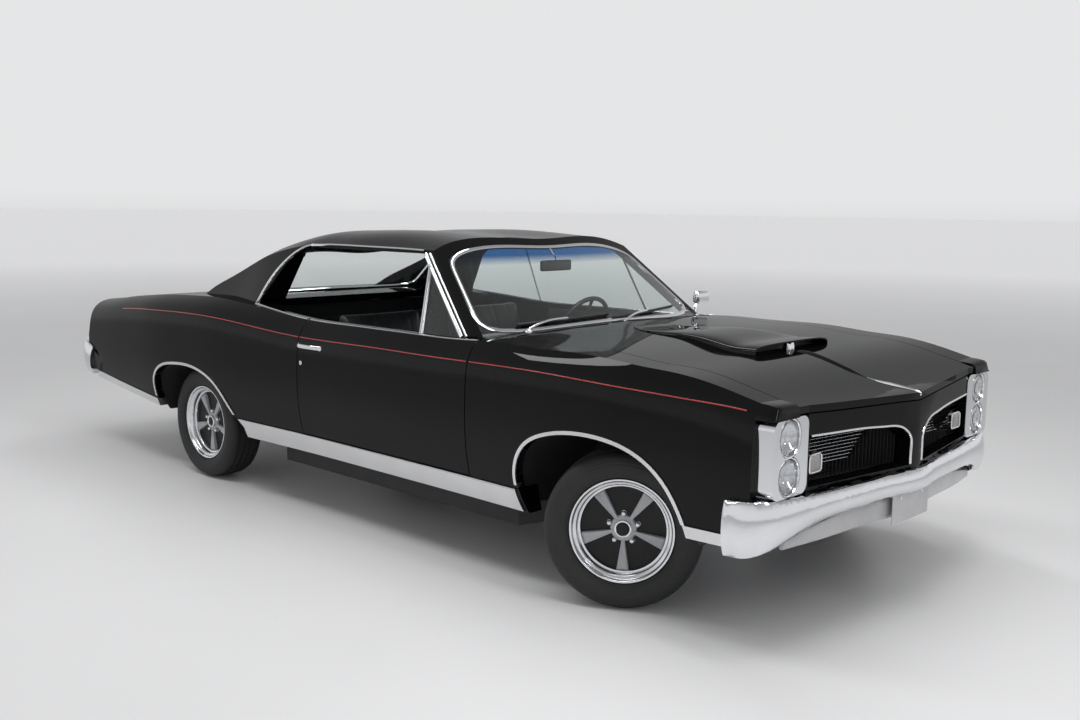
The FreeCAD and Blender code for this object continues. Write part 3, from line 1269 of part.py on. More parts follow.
def axle_rod(name, low, high, radius):
    """A bound round bar across the car on the rear axle's line."""
    return bound_rod(name, (rear_axle, low, hub_z), vec(0, 1, 0), high - low, radius)


axle_end, stub_end = half_rear - rim_half, half_rear + rim_half - cell("disc_recess") * SPINDLE_SHARE
drum_end = half_rear + drum_out
rear_drum = axle_rod("rear_drum", drum_end - cell("drum_width"), drum_end, cell("drum_radius"))
axle_arch_base = cell("belt_height") * RAIL_SHARES[AXLE_ARCH_ROW][2] - cell("rail_depth") / 2
spring = bound_rod("spring", (rear_axle, cell("rear_rail_half"), hub_z), vec(0, 0, 1), axle_arch_base - hub_z - CLEAR,
                   cell("spring_radius"))
keep(bound_fuse("rear_axle", [carrier, axle_rod("axle_tube", -axle_end, axle_end, cell("axle_radius")),
                              axle_rod("stub_axle", -stub_end, stub_end, cell("spindle_radius")),
                              rear_drum, bound_mirror("rear_drum_right", rear_drum),
                              spring, bound_mirror("spring_right", spring)]))
tank_rear, tank_front = [front_axle - cell("wheelbase") * share for share in TANK_SHARES]
tank_top = cell("floor_height") + cell("belt_height") * FLOOR_SHARES[-1][1] - CLEAR
keep(bound_block("fuel_tank", tank_rear, tank_front, -cell("tank_half_width"), cell("tank_half_width"),
                 cell("floor_height") - cell("tank_drop"), tank_top))
radiator_x = front_axle + cell("radiator_place")
radiator_half = cell("front_rail_half") - cell("rail_width") / 2 - CLEAR
keep(bound_block("radiator", radiator_x, radiator_x + cell("radiator_depth"), -radiator_half, radiator_half,
                 cell("belt_height") * cross_top(NOSE_CROSS_ROW) + CLEAR, cell("belt_height") * RADIATOR_TOP_SHARE))

# Exhaust: a route of shares of the wheelbase behind the front axle and of the pipe's place across
ROUTE_SHARES = [(0.240, 0.80), (0.300, 0.80), (0.500, 1.0), (0.800, 1.0), (0.940, 1.0), (1.060, 1.0), (1.180, 1.15),
                (1.420, 1.15)]
TAIL_PIPE_SHARE, MUFFLER_ROUND_SHARE = 0.325, 0.4
MUFFLER_ROW = 3
pipe_y, pipe_r = size("pipe_out"), size("pipe_radius")
low_z = cross_top(FLOOR_CROSS_ROW) * BELT + CLEAR + pipe_r
over_z = HUB_Z + size("axle_radius") + pipe_r + GAP * 2
tail_z = TAIL_PIPE_SHARE * BELT
heights = (low_z, low_z, low_z, low_z, over_z, over_z, tail_z, tail_z)
route = [vec(behind(along * WHEELBASE), pipe_y * out, z) for (along, out), z in zip(ROUTE_SHARES, heights)]
pipes = [rod(a, b, pipe_r) for a, b in zip(route, route[1:])] + [Part.makeSphere(pipe_r, p) for p in route[1:-1]]
muffler_x, muffler_half, muffler_top = route[MUFFLER_ROW].x, size("muffler_width") / 2, floor_z - GAP
muffler = block(muffler_x, muffler_x + size("muffler_length"), pipe_y - muffler_half, pipe_y + muffler_half,
                muffler_top - size("muffler_height"), muffler_top)
muffler_edges = [edge for edge in muffler.Edges if edge.BoundBox.XLength > size("muffler_width")]
muffler = muffler.makeFillet(size("muffler_height") * MUFFLER_ROUND_SHARE, muffler_edges)
node("exhaust", both(fused(pipes + [muffler])))

# Seats
HIP_SHARE, BACK_TAPER_SHARE, REAR_HIP_SHARE, REAR_LEAN_SHARE = 0.9, 0.6, 0.3, 0.5
seat_base = cell("floor_height") + cell("floor_thickness") + CLEAR
seat_front, seat_hip = front_axle - cell("seat_front"), front_axle - cell("seat_hip")
seat_top = seat_hip - cell("back_lean")
seat_body = doc.addObject("PartDesign::Body", "seat_block")
seat_outline = [((seat_front, seat_base),), ((seat_front, seat_base + cell("cushion_height")),),
                ((seat_hip, seat_base + cell("cushion_height") * HIP_SHARE),), ((seat_top, cell("back_top")),),
                ((seat_top - cell("back_depth") * BACK_TAPER_SHARE, cell("back_top")),),
                ((seat_hip - cell("back_depth"), seat_base),)]
seat_half = cell("seat_width") / 2
padded(seat_body, "seat_profile", seat_outline, cell("seat_spacing") - seat_half, cell("seat_spacing") + seat_half)
tunnel_start = (rear_axle, zero, cell("floor_height"))
tunnel_object = bound_rod("tunnel_room", tunnel_start, vec(1, 0, 0), cell("wheelbase"), cell("tunnel_radius") + CLEAR)
seat = bound_cut("seat_left", seat_body, tunnel_object)
keep(bound_group("front_seats", [seat, bound_mirror("seat_right", seat)]))
base_z, cushion_h, back_d = seat_base.value, size("cushion_height"), size("back_depth")
tunnel_room = rod(vec(REAR_AXLE, 0, floor_z), vec(FRONT_AXLE, 0, floor_z), size("tunnel_radius") + CLEAR)
rear_hip, rear_half = behind(size("rear_seat_hip")), floor_half - GAP
rear_cushion = block(rear_hip, rear_hip + size("rear_cushion_length"), -rear_half, rear_half, base_z,
                     base_z + cushion_h * HIP_SHARE)
under_floor = side_slab([(x, z + CLEAR) for x, z in upper] + [(upper[-1][0], 0), (upper[0][0], 0)], -WIDE, WIDE)
rear_top = rear_hip - size("back_lean") * REAR_LEAN_SHARE
BACK_FOOT_SHARE, BACK_FOOT_HEIGHT_SHARE = 1.1, 0.26
rear_back = side_slab([(rear_hip + back_d * REAR_HIP_SHARE, base_z + cushion_h * BACK_TAPER_SHARE),
                       (rear_top, size("rear_back_top")), (rear_top - back_d, size("rear_back_top")),
                       (rear_hip - back_d * BACK_FOOT_SHARE, base_z + BELT * BACK_FOOT_HEIGHT_SHARE)],
                      -rear_half, rear_half)
node("rear_seat", fused([rear_cushion, rear_back]).cut(tunnel_room).cut(under_floor))

# Dashboard with the steering column: rows of shares of the belt height
DASH_SHARES = {"front_low": 0.74, "front_high": 0.93, "cowl": 0.96, "rear_high": 0.92, "rear_low": 0.76}
dash_front, dash_rear, dash_half = firewall_x - floor_t - CLEAR, behind(size("dash_rear")), cowl_half - GAP
dash_outline = [(dash_front, BELT * DASH_SHARES["front_low"]), (dash_front, BELT * DASH_SHARES["front_high"]),
                (cowl_rear - WALL, BELT * DASH_SHARES["cowl"]), (dash_rear, BELT * DASH_SHARES["rear_high"]),
                (dash_rear, BELT * DASH_SHARES["rear_low"])]
wheel_centre = vec(behind(size("steering_place")), size("seat_spacing"), size("steering_height"))
lean = math.radians(size("column_angle"))
column_axis = vec(-math.cos(lean), 0, math.sin(lean))
column_gap = size("column_radius") * 2
column = rod(wheel_centre - column_axis * size("column_length"), wheel_centre - column_axis * column_gap,
             size("column_radius"))
dashboard = side_slab(dash_outline, -dash_half, dash_half).cut(cowl).cut(outer.cut(inner))
node("dashboard", fused([dashboard, column]))

# Steering wheel, about its own centre with its Z along the column
HUB_WIDE_SHARE, SPOKE_THIN_SHARE = 1.3, 0.7
rim_circle = cell("steering_radius") - cell("steering_rim")
torus = bound("Torus", "steering_rim", Radius1=rim_circle, Radius2=cell("steering_rim"))
hub_low = Cell.read(CLEAR) - cell("column_radius") * 2
steering_parts = [torus, bound_rod("steering_hub", (zero, zero, hub_low), vec(0, 0, 1),
                                   cell("steering_rim") - hub_low, cell("column_radius") * HUB_WIDE_SHARE)]
for number, turn in enumerate((30, 150, 270)):
    away = vec(-math.sin(math.radians(turn)), math.cos(math.radians(turn)), 0)
    steering_parts.append(bound_rod("steering_spoke_%d" % number, (zero, zero, zero), away, rim_circle,
                                    cell("steering_rim") * SPOKE_THIN_SHARE))
steering_wheel = keep(bound_fuse("steering_wheel", steering_parts))
tilt = FreeCAD.Rotation(vec(0, -1, 0), 90 - size("column_angle"))
steering_wheel.Placement = FreeCAD.Placement(vec(0, 0, 0), tilt)
placed(steering_wheel, front_axle - cell("steering_place"), cell("seat_spacing"), cell("steering_height"))
steering_wheel.setExpression("Placement.Rotation.Angle", "90 - Sizes.column_angle")

doc.recompute()
for thing in doc.Objects:
    if "Invalid" in thing.State or "Error" in thing.State:
        raise RuntimeError("%s did not rebuild: %s" % (thing.Label, thing.State))
for piece in nodes:
    if piece.Shape.isNull() or not piece.Shape.isValid():
        raise RuntimeError("%s has no valid shape" % piece.Label)
os.makedirs("parts", exist_ok=True)
for piece in nodes:
    piece.Shape.exportStep("parts/%s.step" % piece.Label)
    print(piece.Label, len(piece.Shape.Solids))
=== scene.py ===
import json
import logging
import math
from dataclasses import dataclass
from enum import Enum
from typing import Callable, Dict, Iterable, List, Optional, Sequence, Tuple

import bpy
from mathutils import Matrix, Vector
from mathutils.bvhtree import BVHTree


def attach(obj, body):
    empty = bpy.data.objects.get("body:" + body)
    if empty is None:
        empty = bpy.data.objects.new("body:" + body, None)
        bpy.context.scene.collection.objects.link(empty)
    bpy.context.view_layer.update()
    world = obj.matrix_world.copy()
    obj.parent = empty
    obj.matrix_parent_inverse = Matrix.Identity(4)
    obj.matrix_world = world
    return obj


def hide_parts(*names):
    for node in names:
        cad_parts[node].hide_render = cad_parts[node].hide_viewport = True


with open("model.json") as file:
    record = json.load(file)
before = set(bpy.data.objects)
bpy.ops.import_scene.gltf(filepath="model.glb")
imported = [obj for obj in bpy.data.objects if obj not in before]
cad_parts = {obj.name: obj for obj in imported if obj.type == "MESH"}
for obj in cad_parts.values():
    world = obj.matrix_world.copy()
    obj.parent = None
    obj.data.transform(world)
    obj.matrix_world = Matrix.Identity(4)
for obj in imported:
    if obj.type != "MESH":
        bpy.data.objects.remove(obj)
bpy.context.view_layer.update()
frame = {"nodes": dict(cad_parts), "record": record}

LOG = logging.getLogger("car")

# Short names for the types; a spot is a place on the body with the direction out of it
Piece = bpy.types.Object
Material = bpy.types.Material
Socket = bpy.types.NodeSocket
Point = Tuple[float, float, float]
Colour = Tuple[float, float, float]
Flat = Tuple[float, float]
Line = Tuple[Flat, ...]
Row = Tuple[float, ...]
Rows = Tuple[Point, ...]
Spot = Tuple[Vector, Vector]

# Driving dimensions of the car, in metres
FRONT_AXLE = 1.766
WHEELBASE = 2.921
REAR_AXLE = FRONT_AXLE - WHEELBASE
HALF = 0.945
BELT = 0.955
HUB_Z = 0.306
FRONT_TRACK = 1.473
REAR_TRACK = 1.499
SILL = 0.300
SHEET_WALL = 0.034

# The steering's lock to the left, in radians
STEER = math.radians(30.6)
TAU = math.tau

# The windshield: how far its outer face is past the body's line, its lean and its bow
SCREEN_SHEET = 0.0531
SCREEN_LEAN = 412 / 329
SCREEN_BOW_SLOPE = 2 * 0.085 / 0.70 ** 2


def behind(distance: float) -> float:
    """The place that far behind the front axle, in metres."""
    return FRONT_AXLE - distance


class Side(Enum):
    """A side of the car, with the sign of its Y."""

    LEFT = 1
    RIGHT = -1

    @property
    def word(self) -> str:
        """The side's word in node and body names."""
        return self.name.lower()


# Finishes

GLASS_IOR = 1.45


class Nodes:
    """A short way to lay out one procedural material."""

    def __init__(self, name: str) -> None:
        """Start a material with its shader and Object coordinates.

        Args:
            name: The material's name.
        """
        self.material = bpy.data.materials.new(name)
        self.material.use_nodes = True
        self.tree = self.material.node_tree
        self.shader = self.tree.nodes["Principled BSDF"]
        self.place = self.tree.nodes.new("ShaderNodeTexCoord").outputs["Object"]

    def set(self, **values: object) -> "Nodes":
        """Set sockets of the shader.

        Args:
            **values: Each socket's value by its name, with underscores for spaces.

        Returns:
            These nodes.
        """
        for key, value in values.items():
            self.shader.inputs[key.replace("_", " ")].default_value = value
        return self

    def add(self, kind: str, inputs: Optional[Dict[str, object]] = None,
            **settings: object) -> bpy.types.Node:
        """Add a node, with settings and inputs that are values or sockets.

        Args:
            kind: The node's type.
            inputs: Values or output sockets for its inputs.
            **settings: Attributes of the node.

        Returns:
            The node.
        """
        node = self.tree.nodes.new(kind)
        for key, value in settings.items():
            setattr(node, key, value)
        for key, value in (inputs or {}).items():
            socket = node.inputs[key]
            if isinstance(value, Socket):
                self.tree.links.new(value, socket)
            else:
                socket.default_value = value
        return node

    def stretched(self, scale: Point) -> Socket:
        """Object coordinates stretched by a scale along each axis."""
        return self.add("ShaderNodeMapping", {"Vector": self.place, "Scale": scale}).outputs["Vector"]

    def noise(self, scale: float, detail: float = 3.0, where: Optional[Socket] = None) -> Socket:
        """A noise pattern's value."""
        inputs = {"Vector": where or self.place, "Scale": scale, "Detail": detail}
        return self.add("ShaderNodeTexNoise", inputs).outputs["Fac"]

    def ramp(self, value: Socket, stops: Sequence[Tuple[float, Colour]]) -> Socket:
        """A colour picked by a value.

        Args:
            value: The value.
            stops: Places from 0 to 1, each with its colour.

        Returns:
            The colour's socket.
        """
        node = self.add("ShaderNodeValToRGB", {"Fac": value})
        elements = node.color_ramp.elements
        while len(elements) < len(stops):
            elements.new(0.5)
        for element, (at, colour) in zip(elements, stops):
            element.position = at
            element.color = (*colour, 1.0)
        return node.outputs["Color"]

    def between(self, value: Socket, low: float, high: float) -> Socket:
        """A value from 0 to 1 spread between low and high."""
        spread = self.add("ShaderNodeMapRange", {"Value": value, "To Min": low, "To Max": high})
        return spread.outputs["Result"]

    def bump(self, height: Socket, strength: float, depth: float) -> "Nodes":
        """Raise the surface by a pattern.

        Args:
            height: The pattern.
            strength: The share of it that shows.
            depth: Its depth in metres.

        Returns:
            These nodes.
        """
        node = self.add("ShaderNodeBump", {"Height": height, "Strength": strength, "Distance": depth})
        self.link(node.outputs["Normal"], "Normal")
        return self

    def link(self, value: Socket, socket: str) -> "Nodes":
        """Join a value to a socket of the shader."""
        self.tree.links.new(value, self.shader.inputs[socket])
        return self


@dataclass(frozen=True)
class Paint:
    """Sprayed enamel: a deep coat with a faint texture in it."""

    name: str
    colour: Colour
    roughness: float = 0.30
    coat: float = 0.42
    shine: float = 0.0
    coat_roughness: float = 0.012
    peel_scale: float = 420.0
    peel_depth: float = 0.0004

    def make(self) -> Material:
        """Lay out the enamel.

        Returns:
            The material.
        """
        nodes = Nodes(self.name).set(Coat_Weight=self.coat, Coat_Roughness=self.coat_roughness,
                                     Specular_IOR_Level=self.shine)
        deep = tuple(part * 0.75 for part in self.colour)
        nodes.link(nodes.ramp(nodes.noise(5.0), [(0.3, deep), (0.7, self.colour)]), "Base Color")
        dull = nodes.between(nodes.noise(140.0), self.roughness * 0.7, self.roughness * 1.5)
        nodes.link(dull, "Roughness")
        return nodes.bump(nodes.noise(self.peel_scale, 1.0), 0.010, self.peel_depth).material


@dataclass(frozen=True)
class Metal:
    """Plated, polished or bare metal, with its wear."""

    name: str
    colour: Colour
    roughness: float
    grain: Point = (1.0, 1.0, 1.0)
    grain_depth: float = 0.0
    stain: float = 0.0

    def make(self) -> Material:
        """Lay out the metal.

        Returns:
            The material.
        """
        nodes = Nodes(self.name).set(Metallic=1.0)
        cloudy = nodes.noise(9.0, 4.0)
        worn = tuple(part * (1.0 - self.stain) for part in self.colour)
        nodes.link(nodes.ramp(cloudy, [(0.35, worn), (0.65, self.colour)]), "Base Color")
        streaks = nodes.noise(90.0, 2.0, nodes.stretched(self.grain))
        nodes.link(nodes.between(streaks, self.roughness * 0.75, self.roughness * 1.3), "Roughness")
        if self.grain_depth:
            nodes.bump(streaks, 0.25, self.grain_depth)
        return nodes.material


@dataclass(frozen=True)
class Moulded:
    """Rubber, vinyl, plastic or carpet: a dull skin with a grain."""

    name: str
    colour: Colour
    roughness: float
    grain_scale: float
    grain_depth: float
    sheen: float = 0.0
    cells: bool = False

    def make(self) -> Material:
        """Lay out the skin.

        Returns:
            The material.
        """
        nodes = Nodes(self.name).set(Sheen_Weight=self.sheen, Sheen_Roughness=0.5)
        dark = tuple(part * 0.7 for part in self.colour)
        nodes.link(nodes.ramp(nodes.noise(14.0, 5.0), [(0.3, dark), (0.7, self.colour)]), "Base Color")
        if self.cells:
            pattern = nodes.add("ShaderNodeTexVoronoi", {"Vector": nodes.place, "Scale": self.grain_scale})
            grain = pattern.outputs["Distance"]
        else:
            grain = nodes.noise(self.grain_scale, 4.0)
        dull = nodes.between(grain, self.roughness * 0.85, min(1.0, self.roughness * 1.15))
        nodes.link(dull, "Roughness")
        return nodes.bump(grain, 0.4, self.grain_depth).material


@dataclass(frozen=True)
class Glass:
    """Tinted glass that lets straight light and shadow rays through."""

    name: str
    tint: Colour
    band: Optional[Tuple[float, float]] = None
    band_tint: Colour = (0.04, 0.16, 0.42)

    def make(self) -> Material:
        """Lay out the glass, with a darker band between two heights where it has one.

        Returns:
            The material.
        """
        nodes = Nodes(self.name).set(Transmission_Weight=1.0, Roughness=0.0, IOR=GLASS_IOR)
        if self.band:
            height = nodes.add("ShaderNodeSeparateXYZ", {"Vector": nodes.place}).outputs["Z"]
            low, high = self.band
            spread = nodes.add("ShaderNodeMapRange", {"Value": height, "From Min": low, "From Max": high})
            colour = nodes.ramp(spread.outputs["Result"], [(0.0, self.tint), (1.0, self.band_tint)])
        else:
            colour = nodes.ramp(nodes.noise(3.0), [(0.0, self.tint), (1.0, self.tint)])
        nodes.link(colour, "Base Color")
        clear = nodes.add("ShaderNodeBsdfTransparent", {"Color": colour})
        rays = nodes.add("ShaderNodeLightPath")
        mix = nodes.add("ShaderNodeMixShader", {0: rays.outputs["Is Shadow Ray"],
                                                1: nodes.shader.outputs["BSDF"], 2: clear.outputs["BSDF"]})
        output = next(node for node in nodes.tree.nodes if node.type == "OUTPUT_MATERIAL")
        nodes.tree.links.new(mix.outputs["Shader"], output.inputs["Surface"])
        return nodes.material


@dataclass(frozen=True)
class Lens:
    """A moulded lamp lens with flutes in it."""

    name: str
    colour: Colour
    flutes: Point
    transmission: float

    def make(self) -> Material:
        """Lay out the lens.

        Returns:
            The material.
        """
        nodes = Nodes(self.name).set(Transmission_Weight=self.transmission, Roughness=0.05, IOR=GLASS_IOR)
        deep = tuple(part * 0.85 for part in self.colour)
        nodes.link(nodes.ramp(nodes.noise(30.0), [(0.3, deep), (0.7, self.colour)]), "Base Color")
        wave = nodes.add("ShaderNodeTexWave", {"Vector": nodes.stretched(self.flutes), "Scale": 1.0})
        return nodes.bump(wave.outputs["Fac"], 0.5, 0.002).material


class Finishes:
    """Every finish of the car, made once."""

    def __init__(self) -> None:
        """Make the materials."""
        self.black = Paint("gloss_black_enamel", (0.0032, 0.0032, 0.0036)).make()
        self.satin_black = Paint("satin_black_paint", (0.014, 0.014, 0.015), 0.45, 0.0, 0.3).make()
        self.chassis = Moulded("chassis_black", (0.020, 0.020, 0.021), 0.60, 300.0, 0.0003).make()
        self.silver = Paint("wheel_silver_paint", (0.46, 0.47, 0.49), 0.30, 0.6, 0.4).make()
        self.valance_silver = Paint("valance_silver_paint", (0.55, 0.55, 0.56), 0.28, 0.5, 0.4).make()
        self.chrome = Metal("chrome_plate", (0.80, 0.81, 0.83), 0.05, stain=0.04).make()
        self.ring = Metal("polished_ring", (0.78, 0.79, 0.81), 0.13, stain=0.06).make()
        self.bright = Metal("brushed_bright_trim", (0.78, 0.78, 0.79), 0.24,
                            grain=(0.05, 9.0, 9.0), grain_depth=0.0001, stain=0.05).make()
        self.steel = Metal("exhaust_steel", (0.42, 0.41, 0.39), 0.38,
                           grain=(0.3, 3.0, 3.0), grain_depth=0.0002, stain=0.30).make()
        self.glass = Glass("side_glass", (0.90, 0.95, 0.94)).make()
        self.screen = Glass("windshield_glass", (0.90, 0.95, 0.94), (1.245, 1.285)).make()
        self.lamp_glass = Lens("headlamp_glass", (0.93, 0.94, 0.95), (60.0, 260.0, 0.0), 0.92).make()
        self.park_lens = Lens("parking_lens", (0.85, 0.80, 0.76), (0.0, 0.0, 240.0), 0.6).make()
        self.red_lens = Lens("red_tail_lens", (0.50, 0.012, 0.012), (0.0, 300.0, 0.0), 0.35).make()
        self.rubber = Moulded("tyre_rubber", (0.017, 0.017, 0.018), 0.62, 260.0, 0.0003).make()
        self.vinyl = Moulded("black_vinyl", (0.020, 0.020, 0.022), 0.40, 480.0, 0.0004,
                             sheen=0.05, cells=True).make()
        self.plastic = Moulded("black_dash_plastic", (0.018, 0.018, 0.019), 0.48, 520.0, 0.0003,
                               cells=True).make()
        self.carpet = Moulded("black_carpet", (0.016, 0.016, 0.017), 0.95, 700.0, 0.0016, 0.25).make()
        self.iron = Moulded("engine_paint", (0.05, 0.12, 0.22), 0.42, 90.0, 0.0006).make()
        self.stripe = Paint("red_pinstripe", (0.42, 0.030, 0.028), 0.25, 0.6, 0.4).make()


# Modelling


class Bench:
    """The workbench: primitives, edit-mode operators and applied modifiers."""

    @staticmethod
    def clear() -> None:
        """Leave edit mode and deselect everything."""
        if bpy.context.object and bpy.context.object.mode != "OBJECT":
            bpy.ops.object.mode_set(mode="OBJECT")
        bpy.ops.object.select_all(action="DESELECT")

    @staticmethod
    def take(piece: Piece) -> None:
        """Select one piece alone and make it active.

        Args:
            piece: The piece.
        """
        Bench.clear()
        piece.select_set(True)
        bpy.context.view_layer.objects.active = piece

    @staticmethod
    def edit(piece: Piece) -> None:
        """Open a piece in edit mode with all of it selected.

        Args:
            piece: The piece.
        """
        Bench.take(piece)
        bpy.ops.object.mode_set(mode="EDIT")
        bpy.ops.mesh.select_all(action="SELECT")

    @staticmethod
    def merge(piece: Piece, distance: float = 0.00005, outwards: bool = False) -> Piece:
        """Join the loose faces of a piece at their corners.

        Args:
            piece: The piece.
            distance: How far apart corners are that become one.
            outwards: Whether its faces are pointed outwards too.

        Returns:
            The same piece.
        """
        Bench.edit(piece)
        bpy.ops.mesh.remove_doubles(threshold=distance)
        if outwards:
            bpy.ops.mesh.normals_make_consistent(inside=False)
        bpy.ops.object.mode_set(mode="OBJECT")
        return piece

    @staticmethod
    def outward(piece: Piece) -> Piece:
        """Merge a piece and point its faces outwards."""
        return Bench.merge(piece, 0.00001, True)

    @staticmethod
    def smooth(piece: Piece, degrees: float = 32.0) -> Piece:
        """Shade a piece smooth, with sharp edges past an angle.

        Args:
            piece: The piece.
            degrees: The angle.

        Returns:
            The same piece.
        """
        Bench.take(piece)
        bpy.ops.object.shade_smooth_by_angle(angle=math.radians(degrees))
        return piece

    @staticmethod
    def modify(piece: Piece, kind: str, **settings: object) -> Piece:
        """Add one modifier to a piece and apply it.

        Args:
            piece: The piece.
            kind: The modifier's type.
            **settings: Its settings.

        Returns:
            The same piece.
        """
        Bench.take(piece)
        modifier = piece.modifiers.new(kind.lower(), kind)
        for key, value in settings.items():
            setattr(modifier, key, value)
        bpy.ops.object.modifier_apply(modifier=modifier.name)
        return piece

    @staticmethod
    def mesh(name: str, corners: Sequence[Sequence[float]], faces: Sequence[Sequence[int]]) -> Piece:
        """A piece straight from corners and faces, for a shape that is given by a formula.

        Args:
            name: Its name.
            corners: Its corners.
            faces: The numbers of the corners round each face.

        Returns:
            The piece.
        """
        data = bpy.data.meshes.new(name)
        data.from_pydata([tuple(corner) for corner in corners], [], [tuple(face) for face in faces])
        piece = bpy.data.objects.new(name, data)
        bpy.context.scene.collection.objects.link(piece)
        return piece

    @staticmethod
    def rows(name: str, rings: Sequence[Sequence[Vector]], closed: bool, caps: bool = True) -> Piece:
        """A skin over rows of points.

        Args:
            name: Its name.
            rings: Rows with the same number of points.
            closed: Whether each row is a closed ring.
            caps: Whether the first and last rings are filled.

        Returns:
            The piece.
        """
        count = len(rings[0])
        corners = [point for ring in rings for point in ring]
        last = count if closed else count - 1
        faces = []
        for row in range(len(rings) - 1):
            for i in range(last):
                a, b = row * count + i, row * count + (i + 1) % count
                faces.append((a, b, b + count, a + count))
        if closed and caps:
            faces.append(tuple(reversed(range(count))))
            faces.append(tuple(range((len(rings) - 1) * count, len(rings) * count)))
        return Bench.outward(Bench.mesh(name, corners, faces))

    @staticmethod
    def sweep(name: str, path: Sequence[Vector], outs: Sequence[Vector], profile: Sequence[Flat],
              loop: bool = False) -> Piece:
        """A profile carried along a path.

        Args:
            name: Its name.
            path: The path's points.
            outs: The way out of the surface at each point.
            profile: Points of (across, out) round the profile.
            loop: Whether the path closes on itself.

        Returns:
            The piece.
        """
        rings = []
        count = len(path)
        for i, (point, out) in enumerate(zip(path, outs)):
            ahead = path[(i + 1) % count] if loop else path[min(i + 1, count - 1)]
            back = path[i - 1] if loop or i else path[0]
            along = (ahead - back).normalized()
            across = along.cross(out).normalized()
            up = across.cross(along).normalized()
            rings.append([point + across * side + up * height for side, height in profile])
        if loop:
            rings.append(rings[0])
        return Bench.rows(name, rings, True, not loop)

    @staticmethod
    def ring_start(name: str, radius: float, steps: int) -> Piece:
        """A circle of edges about +Z, open for extruding.

        Args:
            name: Its name.
            radius: The circle's radius.
            steps: Points round it.

        Returns:
            The piece, in edit mode.
        """
        Bench.clear()
        bpy.ops.mesh.primitive_circle_add(vertices=steps, radius=radius)
        piece = bpy.context.object
        piece.name = name
        Bench.edit(piece)
        return piece

    @staticmethod
    def lathe(name: str, profile: Sequence[Flat], steps: int) -> Piece:
        """Extrude a circle through a profile of (radius, height) about +Z.

        Args:
            name: Its name.
            profile: The radius and height of each ring; a radius of 0 closes the end.
            steps: Points round the circle.

        Returns:
            The piece, turned about +Z.
        """
        point = 0.0001
        first = max(profile[0][0], point)
        piece = Bench.ring_start(name, first, steps)
        bpy.ops.transform.translate(value=(0, 0, profile[0][1]))
        radius, height = first, profile[0][1]
        for next_radius, next_height in profile[1:]:
            next_radius = max(next_radius, point)
            bpy.ops.mesh.extrude_region_move(TRANSFORM_OT_translate={"value": (0, 0, next_height - height)})
            scale = next_radius / radius
            bpy.ops.transform.resize(value=(scale, scale, 1), center_override=(0, 0, next_height))
            radius, height = next_radius, next_height
        bpy.ops.object.mode_set(mode="OBJECT")
        return Bench.outward(piece)

    @staticmethod
    def box(name: str, low: Sequence[float], high: Sequence[float], bevel: float, segments: int = 3) -> Piece:
        """A block with rounded edges.

        Args:
            name: Its name.
            low: Its lowest corner.
            high: Its highest corner.
            bevel: The width of its bevels.
            segments: The steps across a bevel.

        Returns:
            The piece.
        """
        Bench.clear()
        bpy.ops.mesh.primitive_cube_add(size=1.0)
        piece = bpy.context.object
        piece.name = name
        low_point, high_point = Vector(low), Vector(high)
        Bench.edit(piece)
        bpy.ops.transform.resize(value=tuple(high_point - low_point), center_override=(0, 0, 0))
        bpy.ops.transform.translate(value=tuple((low_point + high_point) / 2))
        bpy.ops.object.mode_set(mode="OBJECT")
        return Bench.modify(piece, "BEVEL", width=bevel, segments=segments, limit_method="ANGLE")

    @staticmethod
    def moved(piece: Piece, matrix: Matrix) -> Piece:
        """Move the mesh of a piece, which itself stays at the origin.

        Args:
            piece: The piece.
            matrix: The move; one that mirrors turns the faces round too.

        Returns:
            The same piece.
        """
        piece.data.transform(matrix)
        if matrix.determinant() < 0:
            piece.data.flip_normals()
        piece.data.update()
        return piece

    @staticmethod
    def copy(piece: Piece, name: str, matrix: Matrix) -> Piece:
        """A copy with a mesh of its own.

        Args:
            piece: The piece.
            name: The copy's name.
            matrix: The move from the piece to the copy.

        Returns:
            The copy.
        """
        twin = piece.copy()
        twin.data = piece.data.copy()
        twin.name = name
        bpy.context.scene.collection.objects.link(twin)
        return Bench.moved(twin, matrix)

    @staticmethod
    def mirrored(piece: Piece, name: str) -> Piece:
        """The same piece on the other side of the car."""
        return Bench.copy(piece, name, Matrix.Scale(-1, 4, (0, 1, 0)))

    @staticmethod
    def join(name: str, pieces: Sequence[Piece]) -> Piece:
        """Several pieces as one, each keeping its materials.

        Args:
            name: The name of the whole.
            pieces: The pieces.

        Returns:
            The whole.
        """
        Bench.clear()
        for piece in pieces:
            piece.select_set(True)
        bpy.context.view_layer.objects.active = pieces[0]
        bpy.ops.object.join()
        whole = bpy.context.object
        whole.name = name
        return whole


def dress(piece: Piece, body: str, finish: Optional[Material] = None,
          replaces: Iterable[str] = ()) -> Piece:
    """Give a finished piece its material and body, and hide the CAD nodes that it stands for.

    Args:
        piece: The piece.
        body: The body that it rides on.
        finish: Its material, or None where it has its own already.
        replaces: The CAD nodes that it stands for.

    Returns:
        The piece.
    """
    if finish is not None:
        piece.data.materials.clear()
        piece.data.materials.append(finish)
    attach(piece, body)
    nodes = list(replaces)
    if nodes:
        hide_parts(*nodes)
    LOG.info("%s rides on %s", piece.name, body)
    return piece


def body_of_node(node: str) -> str:
    """The body that holds a CAD node."""
    bodies = frame["record"]["behaviour"]["bodies"]
    return next(body for body, names in bodies.items() if node in names)


def node_copy(node: str, name: str) -> Piece:
    """A merged copy of a CAD node, free of the frame.

    Args:
        node: The CAD node.
        name: The copy's name.

    Returns:
        The copy, its mesh at the node's place.
    """
    source = frame["nodes"][node]
    piece = bpy.data.objects.new(name, source.data.copy())
    bpy.context.scene.collection.objects.link(piece)
    piece.data.materials.clear()
    return Bench.merge(piece)


# Smooth surfaces that the body panels take their shading from


